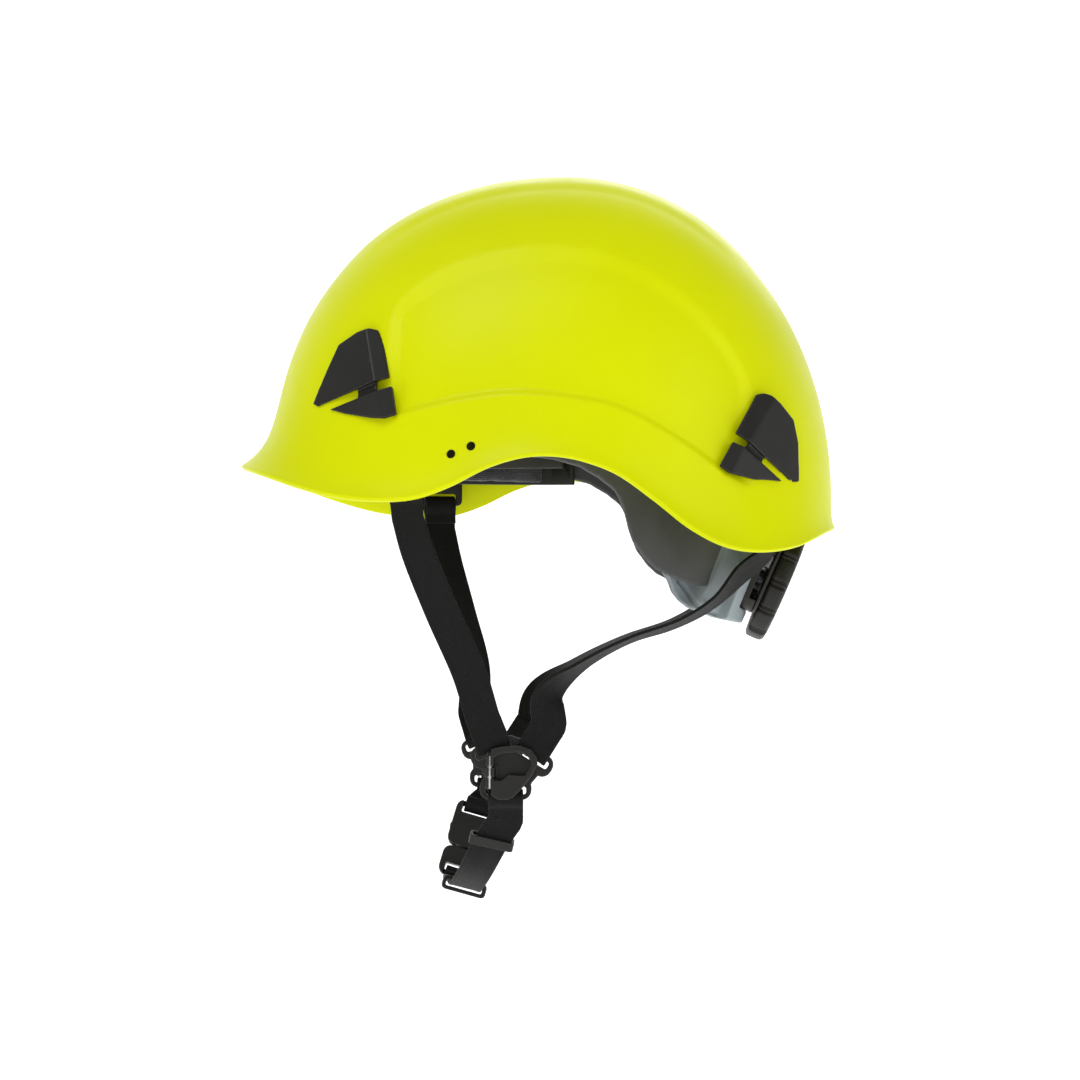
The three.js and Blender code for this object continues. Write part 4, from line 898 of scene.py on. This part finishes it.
def strap_outline(width, thick):
    """The webbing's section as (across, out): flat faces and a slightly thicker round edge."""
    half, bead = width / 2, thick * 0.5
    faces = [(half - 2.2, bead * 0.82), (half - 1.3, bead), (half - 0.7, bead)]
    turn = [(half - 0.35 * (1 - math.sin(a)), bead * math.cos(a)) for a in (0.5, 1.0, math.pi / 2)]
    right = [(0, bead * 0.82), (half * 0.5, bead * 0.82)] + faces + turn
    upper = [(-u, v) for u, v in right[:0:-1]] + right
    lower = [(u, -v) for u, v in upper[-2:0:-1]]
    return np.array(upper + lower)


def resample(rows, step):
    """Evenly spaced rows along a smooth curve through all the rows."""
    fine = spline(rows, np.linspace(0, 1, (len(rows) - 1) * 12 + 1))
    length = np.concatenate([[0], np.cumsum(np.linalg.norm(np.diff(fine[:, :3], axis=0), axis=1))])
    count = max(int(length[-1] / step), 8)
    even = np.linspace(0, length[-1], count + 1)
    return np.stack([np.interp(even, length, fine[:, k]) for k in range(6)], 1), even


def make_strap(name, rows, size):
    rows, length = resample(rows, STRAP_STEP)
    points, normals = rows[:, :3], rows[:, 3:]
    along = np.gradient(points, axis=0)
    along /= np.linalg.norm(along, axis=1, keepdims=True)
    side = np.cross(along, normals)
    side /= np.linalg.norm(side, axis=1, keepdims=True)
    out = np.cross(side, along)
    outline = strap_outline(*size)
    n = len(outline)
    sideways = side[:, None] * outline[None, :, :1]
    outwards = out[:, None] * outline[None, :, 1:]
    ends = [tuple(range(n)), tuple(range((len(rows) - 1) * n, len(rows) * n))]
    skin = (points[:, None] + sideways + outwards).reshape(-1, 3)
    piece = make_object(name, skin, grid_faces(len(rows), n) + ends)
    layer = piece.data.uv_layers.new(name="strap")
    place = np.empty(len(piece.data.loops), int)
    piece.data.loops.foreach_get("vertex_index", place)
    uv = np.stack([outline[place % n, 0], length[place // n]], 1) / 10
    layer.data.foreach_set("uv", uv.ravel())
    return face_outwards(piece)


print("helpers ready; one strap section has", len(strap_outline(*WEB)), "points")

# %% Side straps
ANCHORS = {"front": (-69, -12.5, 11.0, None), "rear": (121, -21, 11.5, (0.99, -0.12, 0.0))}
DIVIDERS = {"left": np.array([-17.0, -66, -142]), "right": np.array([-31.5, -61, -145.5])}
EYES = {"front": (-10, 11.5, -20), "rear": (9, 8.8, 32), "chin": (-4, -13, 180)}
FRONT_RUN = [
    (-60.5, -80.5, -42, -0.2, -1, -0.15), (-50, -75, -69, -0.1, -1, -0.12), (-37.5, -70.5, -98, 0, -1, -0.1),
]
REAR_RUN = [
    (101, -47, -41.5, 0.75, -0.35, -0.55), (88, -54, -52, 0.65, -0.5, -0.6),
    (74, -62.5, -66, 0.45, -0.3, -0.85), (58, -67, -75, 0.3, -0.2, -0.95), (36, -69, -82.5, 0.35, -0.15, -0.93),
    (14, -69, -94.5, 0.45, -0.25, -0.85), (-1, -68.5, -108, 0.35, -0.75, -0.55),
]
MIRROR = np.array([1, -1, 1, 1, -1, 1])
SIDE_TAIL = 11  # how far the sewn end lies along the strap


def turn_at(x, z):
    """The turn at which the shell's outside passes x at height z, on the +Y side."""
    low, high = 0.0, math.pi
    for _ in range(40):
        middle = (low + high) / 2
        if dome_point(np.array(middle), down_at(np.array(middle), z))[0] < x:
            low = middle
        else:
            high = middle
    return low


def wall_place(turn, z, inset):
    turn = np.array(float(turn))
    down = down_at(turn, z)
    point, normal = dome_point(turn, down), dome_normal(turn, down)
    out = unit(np.array([normal[0], normal[1], 0.0]))
    return point - out * inset, out


def anchor_place(end):
    x, z, inset, out = ANCHORS[end]
    at, across = wall_place(-turn_at(x, z), z, inset)
    return at, unit(np.array(out)) if out else across


def side_strap(end, divider, shift):
    run = np.array(FRONT_RUN if end == "front" else REAR_RUN, float)
    run[:, :3] += shift * ((np.arange(len(run)) + 1) / (len(run) + 1))[:, None] ** 2
    top, out = anchor_place(end)
    x, z, tilt = EYES[end]
    axis = (math.cos(math.radians(tilt)), 0, -math.sin(math.radians(tilt)))
    start, leave = sewn_end(top, (-out[1], out[0], 0), run[0, :3], out, SIDE_TAIL)
    finish, arrive = sewn_end(divider + (x, 0, z), axis, run[-1, :3], (0, -1, 0), SIDE_TAIL)
    return np.vstack([start, smooth_run([leave, *run, arrive], 30), finish[::-1]])


shift = (DIVIDERS["right"] - DIVIDERS["left"]) * (1, 0, 1)
for end in ENDS:
    near, far = side_strap(end, DIVIDERS["left"], 0 * shift), side_strap(end, DIVIDERS["right"], shift)
    left = make_strap(f"{end}_strap_left_webbing", near, WEB)
    right = make_strap(f"{end}_strap_right_webbing", far * MIRROR, WEB)
    place_piece(left, WEBBING, "helmet", "webbing", f"{end}_strap_left")
    place_piece(right, WEBBING, "helmet", "webbing", f"{end}_strap_right")
print("side straps: 4")

# %% [markdown]
# ## Chin strap
# The chin webbing leaves the left divider, passes through the keeper and the slider and ends round the bar of
# the buckle's moving half. The strap is one continuous piece.

# %% Chin strap
BUCKLE_AT, BUCKLE_LEAN, BUCKLE_ROLL, BUCKLE_HIGH, MALE_BAR = (-46.5, 41, -189.5), 14, 16, 23, -14.5
CHIN_TAIL, SHORT_TAIL = 8, 5
CHIN_RUN = [
    (-28, -59, -176, 0, -1, -0.3), (-36, -46, -190.5, -0.05, -0.7, -0.75),
    (-42.5, -24, -200.5, -0.2, -0.28, -1), (-45, -6, -203, -0.29, 0, -1), (-48.5, 17, -203, -0.29, 0.1, -1),
]
buckle_turn = np.array(
    Matrix.Rotation(math.radians(BUCKLE_ROLL), 3, "Y") @ Matrix.Rotation(math.radians(-BUCKLE_LEAN), 3, "X")
)
buckle_axis = buckle_turn @ (1, 0, 0)


def on_buckle(z):
    return buckle_turn @ (0, 0, z) + BUCKLE_AT


chin_bar = DIVIDERS["left"] + (EYES["chin"][0], 0, EYES["chin"][1])
start, leave = sewn_end(chin_bar, (1, 0, 0), CHIN_RUN[0][:3], (0, -1, 0), CHIN_TAIL)
finish, arrive = sewn_end(on_buckle(MALE_BAR), buckle_axis, CHIN_RUN[-1][:3], (0, 1, -1), CHIN_TAIL)
rows = np.vstack([start, smooth_run([leave, *CHIN_RUN, arrive], 40), finish[::-1]])
chin = make_strap("chin_strap_webbing", rows, WEB)
chin.data.materials.append(WEBBING)
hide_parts("chin_strap_left", "chin_strap_lower")
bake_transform(chin)

far_bar = (DIVIDERS["right"] + (EYES["chin"][0], 0, EYES["chin"][1])) * (1, -1, 1)
far_low = on_buckle(BUCKLE_HIGH - BAR / 2)
start, _ = sewn_end(far_bar, (1, 0, 0), far_low, (0, 1, 0), SHORT_TAIL)
finish, _ = sewn_end(far_low, buckle_axis, far_bar, (0, 1, 0), SHORT_TAIL)
short = make_strap("chin_strap_right_webbing", np.vstack([start, finish[::-1]]), WEB)
place_piece(short, WEBBING, "helmet", "webbing", "chin_strap_right")
print("chin webbing:", len(chin.data.vertices), "points")

# %% [markdown]
# ## Cradle webbing
# Three narrower straps cross under the foam and carry the helmet on the head. Each one loops through two
# hangers and lies along the liner's inside, a layer apart where they cross.

# %% Cradle straps
HANGER_TURNS = {"front": 38, "side": 81, "rear": 138}
HANGER_HIGH, HANGER_INSET = 27, WALL + 1.8 + 4.4
ARCH_SHARES = [1.07, 0.93, 0.78, 0.62, 0.47, 0.32, 0.2, 0.1]


def cradle_strap(name, first, last, layer):
    inset = LINER_OUT + LINER_THICK + 3 + layer

    def end(degrees):
        at, out = wall_place(math.radians(degrees), HANGER_HIGH, HANGER_INSET)
        return loop_round(at, np.array([0, 0, 1.0]), -out, 12, CRADLE_WEB[1])

    def side(degrees):
        turn = np.full(len(ARCH_SHARES), math.radians(degrees))
        down = down_at(turn, LINER_LOW) * ARCH_SHARES
        return np.hstack([inset_point(turn, down, inset), -dome_normal(turn, down)])

    top = [[CROWN_X, 0, CROWN_Z - inset, 0, 0, -1]]
    rows = np.vstack([end(first), side(first), top, side(last)[::-1], end(last)[::-1]])
    strap = make_strap(name + "_webbing", rows, CRADLE_WEB)
    return place_piece(strap, WEBBING, "helmet", "webbing", name)


turns = HANGER_TURNS
cradle_strap("cradle_strap_side", turns["side"], -turns["side"], 0)
cradle_strap("cradle_strap_from_right", turns["front"], -turns["rear"], 2.4)
cradle_strap("cradle_strap_from_left", -turns["front"], turns["rear"], 4.8)
print("cradle straps: 3")

# %% [markdown]
# ## Floor and light
# The helmet hangs in front of a plain pale sweep, a floor that curves up into a wall so that no horizon
# shows. A large soft light above and to the left gives the broad highlight on the crown, and a second one
# fills the right. A low one lifts the black straps a little, as a white table would, and one behind lights
# the far side.

# %% Floor
FLOOR_Z, SWEEP_NEAR, SWEEP_FAR, SWEEP_HIGH, SWEEP_HALF = -0.33, -1.7, 1.5, 2.6, 3.2
SWEEP_BEND = 0.8


def pale_paper():
    material, surface = start_material("pale paper sweep", roughness=0.9, ior=1.45, emission_strength=0.5)
    surface.inputs["Emission Color"].default_value = (1, 1, 1, 1)
    where = add_node(material, "ShaderNodeTexCoord")
    tint = add_ramp(material, add_noise(material, where, 4, 3.0), "Fac", [(0.3, "#F8F8F8"), (0.7, "#FDFDFD")])
    connect(material, tint, "Color", surface, "Base Color")
    return material


def make_sweep():
    turns = np.linspace(0, math.pi / 2, 16)
    start = SWEEP_FAR - SWEEP_BEND
    arc = [(start + SWEEP_BEND * math.sin(a), FLOOR_Z + SWEEP_BEND * (1 - math.cos(a))) for a in turns]
    side_line = [(SWEEP_NEAR, FLOOR_Z)] + arc + [(SWEEP_FAR, SWEEP_HIGH)]
    points = [(x / MM, y / MM, z / MM) for y, z in side_line for x in (-SWEEP_HALF, SWEEP_HALF)]
    faces = [(2 * i, 2 * i + 1, 2 * i + 3, 2 * i + 2) for i in range(len(side_line) - 1)]
    sweep = make_object("paper_sweep", points, faces)
    sweep.data.materials.append(pale_paper())
    return sweep


print("sweep:", make_sweep().name)

# %% Lights
def soft_light(name, at, look, size, power):
    data = bpy.data.lights.new(name, "AREA")
    data.shape, data.size, data.energy = "DISK", size, power
    lamp = bpy.data.objects.new(name, data)
    bpy.context.scene.collection.objects.link(lamp)
    lamp.location = at
    lamp.rotation_mode = "QUATERNION"
    lamp.rotation_quaternion = (Vector(look) - Vector(at)).to_track_quat("-Z", "Y")
    return lamp


# Each light: where it is, where it looks, its diameter in metres and its power in watts.
soft_light("key", (-0.55, -1.0, 1.25), (0, 0, 0.03), 1.0, 11)
soft_light("fill", (1.1, -1.1, 0.35), (0, 0, 0), 1.0, 3.5)
soft_light("table", (-0.1, -0.75, -0.3), (0, 0, 0.02), 0.8, 0.25)
soft_light("back", (0.2, 1.0, 0.9), (0, 0, 0.1), 1.2, 4)
world = bpy.data.worlds.new("studio")
world.use_nodes = True
world.node_tree.nodes["Background"].inputs["Color"].default_value = (1, 1, 1, 1)
world.node_tree.nodes["Background"].inputs["Strength"].default_value = 0.34
bpy.context.scene.world = world
print("lights: 4")

# %% Update the scene
bpy.context.view_layer.update()
